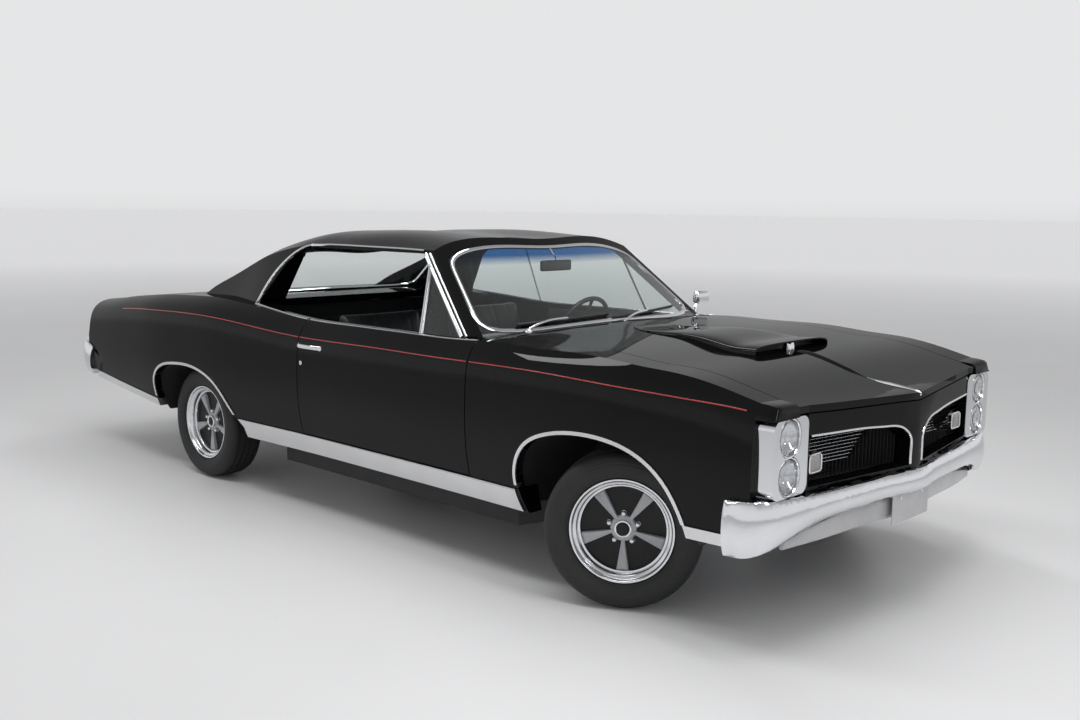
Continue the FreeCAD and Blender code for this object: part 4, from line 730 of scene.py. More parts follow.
BODY_SHARES: List[Row] = [
    (-0.310, 0.920, 0.880, 0.860, 0.835),
    (-0.250, 0.935, 0.890, 0.900, 0.880),
    (-0.200, 0.948, 0.898, 0.950, 0.935),
    (-0.100, 0.968, 0.905, 0.990, 0.985),
    (0.050, 0.985, 0.908, 1.015, 1.022),
    (0.230, 0.975, 0.902, 1.012, 1.036),
    (0.300, 0.972, 0.900, 1.002, 1.010),
    (0.620, 0.968, 0.895, 1.000, 1.008),
    (0.780, 0.982, 0.885, 1.030, 1.034),
    (0.950, 1.000, 0.865, 1.056, 1.058),
    (1.100, 0.998, 0.845, 1.042, 1.044),
    (1.250, 0.972, 0.825, 1.008, 1.012),
    (1.380, 0.940, 0.798, 0.965, 0.972),
    (1.470, 0.915, 0.775, 0.935, 0.945),
]
FLANK_SHARES: List[Flat] = [
    (0.0, 0.925),
    (0.10, 0.955),
    (0.25, 0.982),
    (0.50, 1.0),
    (0.72, 0.998),
    (0.87, 0.985),
]
BODY_STATIONS = 24
CROWN_BOW_SHARE = 0.55
CABIN_STATIONS = 16
CABIN_SHARES: List[Row] = [
    (0.180, 1.000, 0.985, 0.985, 0.972),
    (0.400, 1.000, 1.000, 0.998, 0.985),
    (0.580, 1.000, 1.004, 1.002, 1.000),
    (0.740, 1.000, 1.000, 0.990, 0.990),
    (0.850, 0.990, 0.985, 0.950, 0.950),
    (0.950, 0.975, 0.970, 0.878, 0.880),
    (1.050, 0.955, 0.965, 0.798, 0.798),
    (1.130, 0.940, 0.962, 0.738, 0.730),
]
RAIL_HEIGHT = 1.316
RAIL_HALF = 0.668
BELT_HALF = 0.822
ROOF_HEIGHT = 1.380
ROOF_EDGE_SHARE = 0.88
ROOF_EDGE_RISE_SHARE = 0.55


def smooth_row(table: Sequence[Row], along: float) -> Row:
    """A row of a table at a place between its rows, on monotone cubic curves.

    Args:
        table: Rows that start with their place.
        along: The place.

    Returns:
        The row there.
    """
    places = [entry[0] for entry in table]
    span = max([i for i in range(len(table) - 1) if places[i] <= along] or [0])
    width = places[span + 1] - places[span]
    part = (along - places[span]) / width
    row = [along]
    for column in range(1, len(table[0])):
        values = [entry[column] for entry in table]
        slopes = [(values[i + 1] - values[i]) / (places[i + 1] - places[i]) for i in range(len(table) - 1)]
        tangents = [slopes[0]]
        for before, after in zip(slopes, slopes[1:]):
            tangents.append(2 * before * after / (before + after) if before * after > 0 else 0.0)
        tangents.append(slopes[-1])
        start = (2 * part ** 3 - 3 * part ** 2 + 1) * values[span]
        leave = (part ** 3 - 2 * part ** 2 + part) * width * tangents[span]
        finish = (3 * part ** 2 - 2 * part ** 3) * values[span + 1]
        arrive = (part ** 3 - part ** 2) * width * tangents[span + 1]
        row.append(start + leave + finish + arrive)
    return tuple(row)


def spline(points: Sequence[Vector], steps: int, even: bool = False) -> List[Vector]:
    """A natural cubic through points.

    Args:
        points: The points it goes through.
        steps: How many steps each span is cut into.
        even: Whether the spans count the same, and not by their lengths.

    Returns:
        The points along it.
    """
    count = len(points)
    spans = [1.0 if even else max((b - a).length, 1e-6) for a, b in zip(points, points[1:])]
    bends = [Vector((0, 0, 0)) for _ in points]
    lead = [0.0] * count
    for i in range(1, count - 1):
        pull = ((points[i + 1] - points[i]) / spans[i] - (points[i] - points[i - 1]) / spans[i - 1]) * 6
        weight = 2 * (spans[i - 1] + spans[i]) - spans[i - 1] * lead[i - 1]
        lead[i] = spans[i] / weight
        bends[i] = (pull - bends[i - 1] * spans[i - 1]) / weight
    for i in range(count - 2, 0, -1):
        bends[i] = bends[i] - bends[i + 1] * lead[i]
    line = []
    for i, span in enumerate(spans):
        for step in range(steps):
            t = step / steps
            near, far = 1 - t, t
            line.append(points[i] * near + points[i + 1] * far
                        + (bends[i] * (near ** 3 - near) + bends[i + 1] * (far ** 3 - far)) * span ** 2 / 6)
    line.append(points[-1].copy())
    return line


def eased(line: Sequence[Vector], passes: int) -> List[Vector]:
    """A line with its corners eased.

    Args:
        line: The line.
        passes: How many times it is eased.

    Returns:
        The eased line.
    """
    for _ in range(passes):
        middle = [(a + b * 2 + c) / 4 for a, b, c in zip(line, line[1:], line[2:])]
        line = [line[0]] + middle + [line[-1]]
    return list(line)


class Skin:
    """One clean surface with the shading direction at each of its points."""

    def __init__(self, rows: Sequence[Sequence[Vector]]) -> None:
        """Build the surface's search tree.

        Args:
            rows: Rows of points, from the front to the rear, each from left to right.
        """
        count = len(rows[0])
        self.points = [point for row in rows for point in row]
        self.faces = [(r * count + i, r * count + i + 1, (r + 1) * count + i + 1, (r + 1) * count + i)
                      for r in range(len(rows) - 1) for i in range(count - 1)]
        self.outs: List[Vector] = []
        for r in range(len(rows)):
            for i in range(count):
                across = rows[r][min(i + 1, count - 1)] - rows[r][max(i - 1, 0)]
                along = rows[min(r + 1, len(rows) - 1)][i] - rows[max(r - 1, 0)][i]
                self.outs.append(along.cross(across).normalized())
        self.tree = BVHTree.FromPolygons(self.points, self.faces)

    def shade(self, point: Vector, limit: float) -> Tuple[Optional[Vector], float]:
        """The surface's direction nearest to a point.

        Args:
            point: The point.
            limit: How far away the surface may be.

        Returns:
            The direction and the distance to it, or None and the limit where it is too far.
        """
        place, _, face, distance = self.tree.find_nearest(point, limit)
        if place is None:
            return None, limit
        a, b, c, d = self.faces[face]
        origin, right, down = self.points[a], self.points[b] - self.points[a], self.points[d] - self.points[a]
        u = min(1.0, max(0.0, (place - origin).dot(right) / right.length_squared))
        v = min(1.0, max(0.0, (place - origin).dot(down) / down.length_squared))
        near = self.outs[a].lerp(self.outs[b], u)
        far = self.outs[d].lerp(self.outs[c], u)
        return near.lerp(far, v).normalized(), distance


class Shell:
    """The clean outer surfaces of the body and the roof, before panels are cut from them."""

    BACK_OUT = Vector((-0.300, 0.0, 0.350)).normalized()
    SKIN_MATCH = 0.85
    SCREEN_MATCH = 0.94

    def __init__(self) -> None:
        """Build the flanks, the crown, the cabin's sides and the roof."""
        body = self.stations(BODY_SHARES, BODY_STATIONS)
        roof = self.stations(CABIN_SHARES, CABIN_STATIONS)
        flank = self.loft([spline(self.flank_points(row), 8) for row in body])
        crown = self.loft([spline(self.crown_points(row), 20) for row in body])
        top = self.loft([spline(self.roof_points(row), 20) for row in roof])
        side = self.loft([self.side_points(row) for row in roof])
        far_flank, far_side = ([[Vector((p.x, -p.y, p.z)) for p in reversed(row)] for row in rows]
                               for rows in (flank, side))
        self.skins = [Skin(rows) for rows in (crown, flank, far_flank, top, side, far_side)]
        self.cabin_sides = self.skins[4:]

    @staticmethod
    def screen_out(place: Vector) -> Vector:
        """The windshield's direction at a place across: it leans back and is bowed."""
        return Vector((1.0, SCREEN_BOW_SLOPE * place.y, SCREEN_LEAN)).normalized()

    @staticmethod
    def stations(table: Sequence[Row], count: int) -> List[Row]:
        """Evenly spaced rows along a whole table."""
        first, last = table[0][0], table[-1][0]
        return [smooth_row(table, first + (last - first) * i / (count - 1)) for i in range(count)]

    @staticmethod
    def loft(sections: Sequence[Sequence[Vector]]) -> List[List[Vector]]:
        """Smooth rows through sections."""
        columns = [spline([section[i] for section in sections], 8, True) for i in range(len(sections[0]))]
        return [list(row) for row in zip(*columns)]

    @staticmethod
    def flank_points(row: Row) -> List[Vector]:
        """The left flank from the sill to the shoulder.

        Args:
            row: Its station.

        Returns:
            Its points.
        """
        x, width, shoulder_z = behind(row[0] * WHEELBASE), row[1] * HALF, row[3] * BELT
        flank = [Vector((x, width * out, SILL + (shoulder_z - SILL) * up)) for up, out in FLANK_SHARES]
        return flank + [Vector((x, row[2] * HALF, shoulder_z))]

    @staticmethod
    def crown_points(row: Row) -> List[Vector]:
        """The top from the left shoulder to the right one.

        Args:
            row: Its station.

        Returns:
            Its points.
        """
        x, shoulder_y = behind(row[0] * WHEELBASE), row[2] * HALF
        shoulder_z, centre_z = row[3] * BELT, row[4] * BELT
        bow_y = shoulder_y * CROWN_BOW_SHARE
        bow_z = shoulder_z + (centre_z - shoulder_z) * (1 - CROWN_BOW_SHARE ** 2)
        return [Vector((x, y, z)) for y, z in ((shoulder_y, shoulder_z), (bow_y, bow_z), (0, centre_z),
                                               (-bow_y, bow_z), (-shoulder_y, shoulder_z))]

    @staticmethod
    def roof_points(row: Row) -> List[Vector]:
        """The roof's section from rail to rail.

        Args:
            row: Its station.

        Returns:
            Its points.
        """
        x, rail_y, rail_z = behind(row[0] * WHEELBASE), row[2] * RAIL_HALF, row[3] * RAIL_HEIGHT
        roof_z = row[4] * ROOF_HEIGHT
        edge_y, edge_z = rail_y * ROOF_EDGE_SHARE, rail_z + (roof_z - rail_z) * ROOF_EDGE_RISE_SHARE
        return [Vector((x, y, z)) for y, z in ((rail_y, rail_z), (edge_y, edge_z), (0, roof_z),
                                               (-edge_y, edge_z), (-rail_y, rail_z))]

    @staticmethod
    def side_points(row: Row) -> List[Vector]:
        """The cabin's left side from belt to rail.

        Args:
            row: Its station.

        Returns:
            Its points.
        """
        x, rail_y, rail_z = behind(row[0] * WHEELBASE), row[2] * RAIL_HALF, row[3] * RAIL_HEIGHT
        lean = (row[1] * BELT_HALF - RAIL_HALF) / (RAIL_HEIGHT - BELT)
        base_z = BELT - SHEET_WALL
        low, high = Vector((x, rail_y + lean * (rail_z - base_z), base_z)), Vector((x, rail_y, rail_z))
        steps = 6
        return [low.lerp(high, i / steps) for i in range(steps + 1)]

    def polish(self, piece: Piece, limit: float = 0.013, both: bool = False) -> Piece:
        """Give the outer faces of a panel the clean surface's shading.

        Args:
            piece: The merged panel.
            limit: How far a face may lie from the surface.
            both: Whether the faces that look in are shaded too.

        Returns:
            The panel.
        """
        Bench.smooth(piece, 30.0)
        data = piece.data
        normals = [Vector(corner.vector) for corner in data.corner_normals]
        for polygon in data.polygons:
            best, gap, facing = None, limit, 1.0
            for skin in self.skins:
                out, distance = skin.shade(polygon.center, limit)
                if out is None or distance >= gap:
                    continue
                match = out.dot(polygon.normal)
                if match > self.SKIN_MATCH or (both and match < -self.SKIN_MATCH):
                    best, gap, facing = skin, distance, math.copysign(1.0, match)
            for loop in polygon.loop_indices:
                corner = data.vertices[data.loops[loop].vertex_index].co
                if best is not None:
                    normals[loop] = (best.shade(corner, limit * 4)[0] or normals[loop]) * facing
                    continue
                for out in (self.screen_out(corner), self.BACK_OUT):
                    match = polygon.normal.dot(out)
                    if abs(match) > self.SCREEN_MATCH and (both or match > 0):
                        normals[loop] = out * math.copysign(1.0, match)
        data.normals_split_custom_set([tuple(normal) for normal in normals])
        return piece


PAINTED = ("door_left", "door_right", "fender_left", "fender_right", "hood", "cowl", "quarter_left",
           "quarter_right", "tail_panel", "trunk_lid", "roof_shell", "rear_deck", "nose_panel",
           "rocker_panels")


@dataclass(frozen=True)
class BodyWork:
    """The painted panels."""

    finishes: Finishes
    shell: Shell

    def build(self) -> None:
        """Shade a copy of each panel with the clean surface."""
        for node in PAINTED:
            panel = self.shell.polish(node_copy(node, "panel_" + node))
            dress(panel, body_of_node(node), self.finishes.black, [node])


class End(Enum):
    """An end of the car, as node and body names say it."""

    FRONT = "front"
    REAR = "rear"


@dataclass(frozen=True)
class Wheels:
    """Four road wheels: tyre, polished ring, recessed disc, spokes, nuts and cap.

    Profiles are (radius, height out from the wheel's middle); a spoke's rows are (radius, half width, top).
    """

    finishes: Finishes
    spokes: int = 5
    nut_circle: float = 0.058
    kingpin_in: float = 0.012
    columns: int = 180
    tread_depth: float = 0.0045
    tyre_half: Line = (
        (0.204, 0.078), (0.2065, 0.083), (0.2085, 0.0872), (0.213, 0.088), (0.2145, 0.0912),
        (0.225, 0.0968), (0.238, 0.1004), (0.25, 0.102), (0.26, 0.1019), (0.2612, 0.1008), (0.272, 0.0994),
        (0.2732, 0.0982), (0.28, 0.0962), (0.286, 0.093), (0.2915, 0.0885), (0.296, 0.0835),
        (0.2995, 0.078), (0.302, 0.0715), (0.3038, 0.064), (0.3045, 0.056), (0.2985, 0.0545),
        (0.2985, 0.0475), (0.3052, 0.046), (0.3057, 0.022), (0.299, 0.0205), (0.299, 0.0135),
        (0.306, 0.012),
    )
    ring: Line = (
        (0.203, 0.07), (0.203, 0.0812), (0.2012, 0.0836), (0.1972, 0.0839), (0.1944, 0.0825),
        (0.1924, 0.079), (0.1908, 0.0745), (0.1882, 0.0712), (0.1846, 0.0694), (0.1806, 0.068),
        (0.1774, 0.065), (0.1756, 0.06), (0.1748, 0.052), (0.1738, 0.0478), (0.1712, 0.0462),
        (0.1664, 0.0454), (0.1648, 0.043), (0.1642, 0.033), (0.165, 0.0), (0.1665, -0.056), (0.18, -0.07),
        (0.1985, -0.078), (0.2, -0.0838), (0.203, -0.0838), (0.203, -0.076), (0.19, -0.07), (0.174, -0.056),
        (0.174, 0.04), (0.185, 0.062),
    )
    disc: Line = (
        (0.03, 0.027), (0.07, 0.0278), (0.1, 0.0268), (0.13, 0.024), (0.15, 0.0236), (0.161, 0.0262),
        (0.1655, 0.03), (0.1655, 0.015), (0.03, 0.012),
    )
    hub: Line = ((0.052, 0.0255), (0.0505, 0.0345), (0.047, 0.0385), (0.04, 0.04), (0.034, 0.04))
    cap_ring: Line = (
        (0.035, 0.038), (0.0348, 0.047), (0.0332, 0.0505), (0.0302, 0.0518), (0.0268, 0.0508),
        (0.0246, 0.047),
    )
    cap: Line = ((0.0252, 0.0465), (0.022, 0.0488), (0.015, 0.0508), (0.007, 0.0518), (0.0, 0.052))
    nut: Line = (
        (0.0112, 0.0265), (0.0112, 0.03), (0.01, 0.0312), (0.0098, 0.0392), (0.0086, 0.043),
        (0.0058, 0.0458), (0.0, 0.0468),
    )
    spoke_base: float = 0.020
    spoke_rows: Rows = (
        (0.04, 0.006, 0.0398), (0.06, 0.0084, 0.0412), (0.1, 0.0144, 0.0424), (0.14, 0.0206, 0.043),
        (0.156, 0.023, 0.043), (0.161, 0.0234, 0.0412), (0.165, 0.0238, 0.035), (0.1665, 0.0238, 0.028),
    )

    def build(self) -> None:
        """Make one tyre and one wheel, and put a copy at each corner."""
        tyre, wheel = self.tyre(), self.wheel()
        for end in End:
            for side in Side:
                body = "%s_wheel_%s" % (end.value, side.word)
                place = self.place(end, side)
                corner = (end.value, side.word)
                dress(Bench.copy(tyre, "tyre_%s_%s" % corner, place), body, self.finishes.rubber,
                      ["%s_tyre_%s" % corner])
                dress(Bench.copy(wheel, "wheel_%s_%s" % corner, place), body, None,
                      ["%s_rim_%s" % corner])
        for piece in (tyre, wheel):
            bpy.data.objects.remove(piece)

    def place(self, end: End, side: Side) -> Matrix:
        """The way from a wheel's own axes, with +Z outwards and +Y up, to its corner of the car.

        Args:
            end: The end of the car.
            side: Its side.

        Returns:
            The move.
        """
        out = Vector((0, side.value, 0))
        hub = Vector((REAR_AXLE, side.value * REAR_TRACK / 2, HUB_Z))
        if end is End.FRONT:
            out = Matrix.Rotation(STEER, 3, "Z") @ out
            kingpin = Vector((FRONT_AXLE, side.value * (FRONT_TRACK / 2 - self.kingpin_in), HUB_Z))
            hub = kingpin + out * self.kingpin_in
        up = Vector((0, 0, 1))
        matrix = Matrix((up.cross(out), up, out)).transposed().to_4x4()
        matrix.translation = hub
        return matrix

    def tyre(self) -> Piece:
        """A tyre with ribs, grooves and notched shoulders.

        Returns:
            The tyre about +Z.
        """
        profile = list(self.tyre_half) + [(radius, -height) for radius, height in reversed(self.tyre_half)]
        piece = Bench.lathe("tyre", profile, self.columns)
        for face in piece.data.polygons:
            centre = face.center
            radius, out = centre.to_2d().length, abs(centre.z)
            column = int((math.atan2(centre.y, centre.x) % TAU) / TAU * self.columns)
            shoulder = 0.288 < radius and 0.058 < out < 0.092 and column % 3 == 0
            rib = 0.304 < radius and out < 0.044 and column % 4 == (1 if centre.z > 0 else 3)
            face.select = shoulder or rib
        Bench.take(piece)
        bpy.ops.object.mode_set(mode="EDIT")
        bpy.ops.mesh.select_mode(type="FACE")
        bpy.ops.mesh.extrude_region_shrink_fatten(TRANSFORM_OT_shrink_fatten={"value": -self.tread_depth})
        bpy.ops.mesh.select_mode(type="VERT")
        bpy.ops.object.mode_set(mode="OBJECT")
        return Bench.smooth(piece, 28.0)

    def spoke(self) -> Piece:
        """One wedge spoke with a shallow channel down its face, pointing down.

        Returns:
            The spoke.
        """
        rings = []
        for radius, half, top in self.spoke_rows:
            flank = [(half, self.spoke_base), (half, top - 0.005), (half * 0.93, top - 0.0016),
                     (half * 0.80, top), (half * 0.55, top), (half * 0.35, top - 0.0014)]
            section = [(-x, z) for x, z in flank] + flank[::-1]
            rings.append([Vector((x, -radius, z)) for x, z in section])
        return Bench.smooth(Bench.rows("spoke", rings, True), 40.0)

    def wheel(self) -> Piece:
        """The whole wheel inside the tyre.

        Returns:
            The wheel about +Z, with its materials.
        """
        look = self.finishes
        turned = (("ring", self.ring, 128, 40.0, look.ring), ("disc", self.disc, 96, 40.0, look.satin_black),
                  ("hub", self.hub, 64, 40.0, look.silver),
                  ("cap_ring", self.cap_ring, 64, 50.0, look.chrome),
                  ("cap", self.cap, 48, 50.0, look.satin_black))
        parts = [(Bench.smooth(Bench.lathe(name, profile, steps), degrees), finish)
                 for name, profile, steps, degrees, finish in turned]
        spoke, nut = self.spoke(), Bench.smooth(Bench.lathe("nut", self.nut, 24), 40.0)
        for i in range(self.spokes):
            turn = Matrix.Rotation(TAU * i / self.spokes, 4, "Z")
            parts.append((Bench.copy(spoke, "spoke_%d" % i, turn), look.silver))
            lift = turn @ Matrix.Translation((0, self.nut_circle, 0))
            parts.append((Bench.copy(nut, "nut_%d" % i, lift), look.chrome))
        for piece in (spoke, nut):
            bpy.data.objects.remove(piece)
        for piece, finish in parts:
            piece.data.materials.append(finish)
        return Bench.join("wheel", [piece for piece, _ in parts])


class Panels:
    """The body's real outer faces, on which trim is laid."""

    START_OUT = 1.3
    START_UP = 2.0
    GREENHOUSE_HALF = 0.70

    def __init__(self, shell: Shell) -> None:
        """Gather the faces.

        Args:
            shell: The clean surfaces, for directions out of the body.
        """
        self.shell = shell
        corners: List[Vector] = []
        faces: List[Tuple[int, ...]] = []
        for node in PAINTED + ("rocker_mouldings",):
            data = frame["nodes"][node].data
            start = len(corners)
            corners += [vertex.co.copy() for vertex in data.vertices]
            faces += [tuple(start + i for i in polygon.vertices) for polygon in data.polygons]
        self.tree = BVHTree.FromPolygons(corners, faces)

    def hit(self, start: Vector, way: Vector) -> Optional[Spot]:
        """Where a ray meets the body.

        Args:
            start: The ray's start.
            way: Its direction.

        Returns:
            The spot, or None where it misses.
        """
        place, face_out, _, _ = self.tree.ray_cast(start, way)
        if place is None:
            return None
        for skin in self.shell.skins:
            out, _ = skin.shade(place, 0.02)
            if out is not None and out.dot(face_out) > 0.8:
                return place, out
        return place, face_out if face_out.dot(way) < 0 else -face_out

    def beside(self, x: float, z: float, side: Side) -> Optional[Spot]:
        """The body's side at a place."""
        return self.hit(Vector((x, side.value * self.START_OUT, z)), Vector((0, -side.value, 0)))

    def above(self, x: float, y: float) -> Optional[Spot]:
        """The body's top at a place."""
        return self.hit(Vector((x, y, self.START_UP)), Vector((0, 0, -1)))

    def top(self, x: float, y: float, otherwise: float) -> float:
        """The height of the body's top at a place, or another height off the body."""
        spot = self.above(x, y)
        return spot[0].z if spot else otherwise

    def window(self, x: float, z: float, side: Side, inset: float = 0.0) -> Spot:
        """The cabin's side at a place, also across the window opening.

        Args:
            x: How far forward the place is.
            z: Its height.
            side: Its side.
            inset: How far in from the surface the spot lies.

        Returns:
            The spot.
        """
        plain = Vector((0, side.value, 0))
        for skin in self.shell.cabin_sides:
            place, _, _, _ = skin.tree.ray_cast(Vector((x, side.value * self.START_OUT, z)), -plain)
            if place is not None and place.y * side.value > 0:
                out = skin.shade(place, 0.02)[0] or plain
                return place - out * inset, out
        return Vector((x, side.value * self.GREENHOUSE_HALF, z)), plain


def bead(width: float, height: float, buried: float = 0.003) -> List[Flat]:
    """The profile of a rounded strip.

    Args:
        width: Its width.
        height: Its height.
        buried: How deep it goes into what it lies on.

    Returns:
        The profile.
    """
    half = width / 2
    return [(-half, -buried), (-half, height * 0.45), (-half * 0.62, height * 0.88), (0, height),
            (half * 0.62, height * 0.88), (half, height * 0.45), (half, -buried)]


def straight(low: Flat, high: Flat, z: float) -> float:
    """Where a straight line through two places in (x, z) is at a height."""
    return low[0] + (high[0] - low[0]) * (z - low[1]) / (high[1] - low[1])


def flat_line(points: Sequence[Flat], steps: int = 8) -> List[Flat]:
    """A smooth line through places in a plane."""
    return [(p.x, p.y) for p in spline([Vector((a, b, 0)) for a, b in points], steps)]


def clipped(line: Sequence[Flat], low: float, high: float) -> List[Flat]:
    """The part of a line between two places along it.

    Args:
        line: The line.
        low: The first place.
        high: The second place.

    Returns:
        The part, with its ends on the places.
    """
    points = [spot for spot in line if low < spot[0] < high]
    for end in (low, high):
        for (x0, z0), (x1, z1) in zip(line, line[1:]):
            if min(x0, x1) <= end <= max(x0, x1):
                points.append((end, z0 + (z1 - z0) * (end - x0) / (x1 - x0)))
                break
    return sorted(points, reverse=line[0][0] > line[-1][0])


@dataclass(frozen=True)
class Fitted:
    """What every sub-assembly that is laid on the body shares."""

    finishes: Finishes
    panels: Panels
    plate_half: float = 0.150
    plate_heights: Flat = (0.352, 0.470)
    plate_wall: float = 0.003

    def plated(self, piece: Piece, body: str = "root") -> Piece:
        """Shade a piece smooth and dress it in chrome."""
        return dress(Bench.smooth(piece, 50.0), body, self.finishes.chrome)

    def plate(self, name: str, x: float) -> None:
        """A blank plate across the car.

        Args:
            name: Its name.
            x: Where its rear face is.
        """
        half, (low, high) = self.plate_half, self.plate_heights
        piece = Bench.box(name, (x, -half, low), (x + self.plate_wall, half, high), 0.0012, 2)
        dress(piece, "root", self.finishes.valance_silver)


@dataclass(frozen=True)
class BrightTrim(Fitted):
    """Chrome and paint lines along the body: belt, drip rails, pillars, handles and stripes.

    Lines are (distance ahead of the front axle, height).
    """

    stripe_line: Line = (
        (0.731, 0.839), (0.589, 0.857), (0.448, 0.865), (0.095, 0.876), (-0.227, 0.886), (-0.692, 0.884),
        (-0.913, 0.881), (-1.351, 0.881), (-1.967, 0.880), (-2.455, 0.909), (-2.802, 0.921),
        (-3.182, 0.914), (-3.512, 0.901), (-3.721, 0.886),
    )
    stripe_front: float = 0.62
    stripe_rear: float = -3.721
    drip_line: Line = (
        (-2.470, 0.994), (-2.440, 1.060), (-2.380, 1.150), (-2.300, 1.222), (-2.210, 1.276),
        (-2.120, 1.303), (-2.020, 1.311), (-1.700, 1.313), (-1.400, 1.312), (-1.235, 1.309),
    )
    drip_section: Line = (
        (-0.006, -0.003), (-0.007, 0.006), (-0.004, 0.011), (0.003, 0.012), (0.006, 0.008), (0.006, -0.003),
    )
    door_front: float = -0.706
    door_rear: float = -1.899
    belt_rear: float = -2.440
    belt_in: float = 0.012
    window_front: Tuple[Flat, Flat] = ((-0.832, 0.955), (-1.231, 1.298))
    vent_post: Tuple[Flat, Flat] = ((-1.110, 0.955), (-1.205, 1.316))
    vent_inset: float = 0.014
    handle_rear: float = -1.905
    handle_front: float = -1.715
    handle_height: float = 0.838
    handle_lifts: Row = (0.0, 0.014, 0.023, 0.026, 0.026, 0.025, 0.021, 0.012, 0.0)
    handle_section: Line = (
        (-0.008, -0.003), (-0.009, 0.002), (-0.005, 0.005), (0.005, 0.005), (0.009, 0.002), (0.008, -0.003),
    )
    lock: Flat = (-1.870, 0.757)
    sill_front: float = -0.435
    sill_length: float = 1.980
    sill_height: float = 0.3925
    sill_least_out: float = 0.88

    def build(self) -> None:
        """Lay every line on both sides."""
        for side in Side:
            self.stripe(side)
            self.drip_rail(side)
            self.belt(side)
            self.pillar(side)
            self.vent(side)
            self.handle(side)
            self.sill(side)

    def lay(self, name: str, spots: Iterable[Optional[Spot]], profile: Sequence[Flat], body: str = "root",
            finish: Optional[Material] = None, slot: str = "chrome") -> Optional[Piece]:
        """Carry a profile along places on the body.

        Args:
            name: Its name.
            spots: Places with the direction out of the body; those that missed it are None.
            profile: The strip's profile.
            body: The body that it rides on.
            finish: Its material; chrome where none is given.
            slot: The record's material slot; not used.

        Returns:
            The piece, or None where too few places were found.
        """
        found = [spot for spot in spots if spot is not None]
        if len(found) < 2:
            LOG.warning("%s found no surface", name)
            return None
        path = eased([place for place, _ in found], 2)
        piece = Bench.smooth(Bench.sweep(name, path, [out for _, out in found], profile), 50.0)
        return dress(piece, body, finish or self.finishes.chrome)

    def stripe(self, side: Side) -> None:
        """The thin red line along the body, broken at the door's gaps.

        Args:
            side: Its side.
        """
        line = flat_line(self.stripe_line, 10)
        spans = {
            "fender": (self.door_front + 0.008, self.stripe_front),
            "door": (self.door_rear + 0.004, self.door_front - 0.004),
            "quarter": (self.stripe_rear, self.door_rear - 0.008),
        }
        for part, (low, high) in spans.items():
            spots = [self.panels.beside(FRONT_AXLE + x, z, side) for x, z in clipped(line, low, high)]
            body = "door_" + side.word if part == "door" else "root"
            self.lay("stripe_%s_%s" % (part, side.word), spots, bead(0.0042, 0.0007, 0.001), body,
                     self.finishes.stripe, "paint")

    def drip_rail(self, side: Side) -> None:
        """The chrome rail over the side windows, down to the rear corner.

        Args:
            side: Its side.
        """
        spots = [self.panels.window(FRONT_AXLE + x, z, side) for x, z in flat_line(self.drip_line, 8)]
        self.lay("drip_rail_" + side.word, spots, self.drip_section)

    def belt(self, side: Side) -> None:
        """The moulding along the belt, over door and quarter.

        Args:
            side: Its side.
        """
        def spot(x: float, in_from: float) -> Optional[Spot]:
            """A place on the shoulder, that far in from its edge."""
            row = smooth_row(BODY_SHARES, -x / WHEELBASE)
            return self.panels.above(FRONT_AXLE + x, side.value * (row[2] * HALF - in_from))

        door_start, door_steps = self.door_rear + 0.004, 30
        door_length = self.door_front - self.door_rear - 0.008
        door = [spot(door_start + door_length * i / door_steps, self.belt_in) for i in range(door_steps + 1)]
        self.lay("belt_door_" + side.word, door, bead(0.013, 0.0045), "door_" + side.word)
        length, steps = self.door_rear - self.belt_rear - 0.014, 18
        quarter = [spot(self.belt_rear + length * i / steps, self.belt_in + 0.030 * (1 - i / steps) ** 2)
                   for i in range(steps + 1)]
        self.lay("belt_quarter_" + side.word, quarter, bead(0.022, 0.006))

    def pillar(self, side: Side) -> None:
        """The double strips up the windshield pillar.

        Args:
            side: Its side.
        """
        low, high = self.window_front
        steps = 14
        heights = [low[1] + 0.012 + (high[1] - low[1] - 0.010) * i / steps for i in range(steps + 1)]
        for name, ahead, profile in (("pillar_rear_", 0.009, bead(0.012, 0.007)),
                                     ("pillar_front_", 0.036, bead(0.010, 0.006))):
            spots = [self.panels.window(FRONT_AXLE + straight(low, high, z) + ahead, z, side)
                     for z in heights]
            self.lay(name + side.word, spots, profile)

    def vent(self, side: Side) -> None:
        """The vent window's post and frame, on the door.

        Args:
            side: Its side.
        """
        steps = 10
        for name, line, lift, rise, ahead, profile in (
                ("vent_post_", self.vent_post, -0.004, 1.290, 0.0, bead(0.016, 0.006, 0.008)),
                ("vent_frame_", self.window_front, 0.010, 1.282, -0.016, bead(0.010, 0.004, 0.006))):
            foot = line[0][1]
            heights = [foot + lift + (rise - foot) * i / steps for i in range(steps + 1)]
            spots = [self.panels.window(FRONT_AXLE + straight(line[0], line[1], z) + ahead, z, side,
                                        self.vent_inset) for z in heights]
            self.lay(name + side.word, spots, profile, "door_" + side.word)

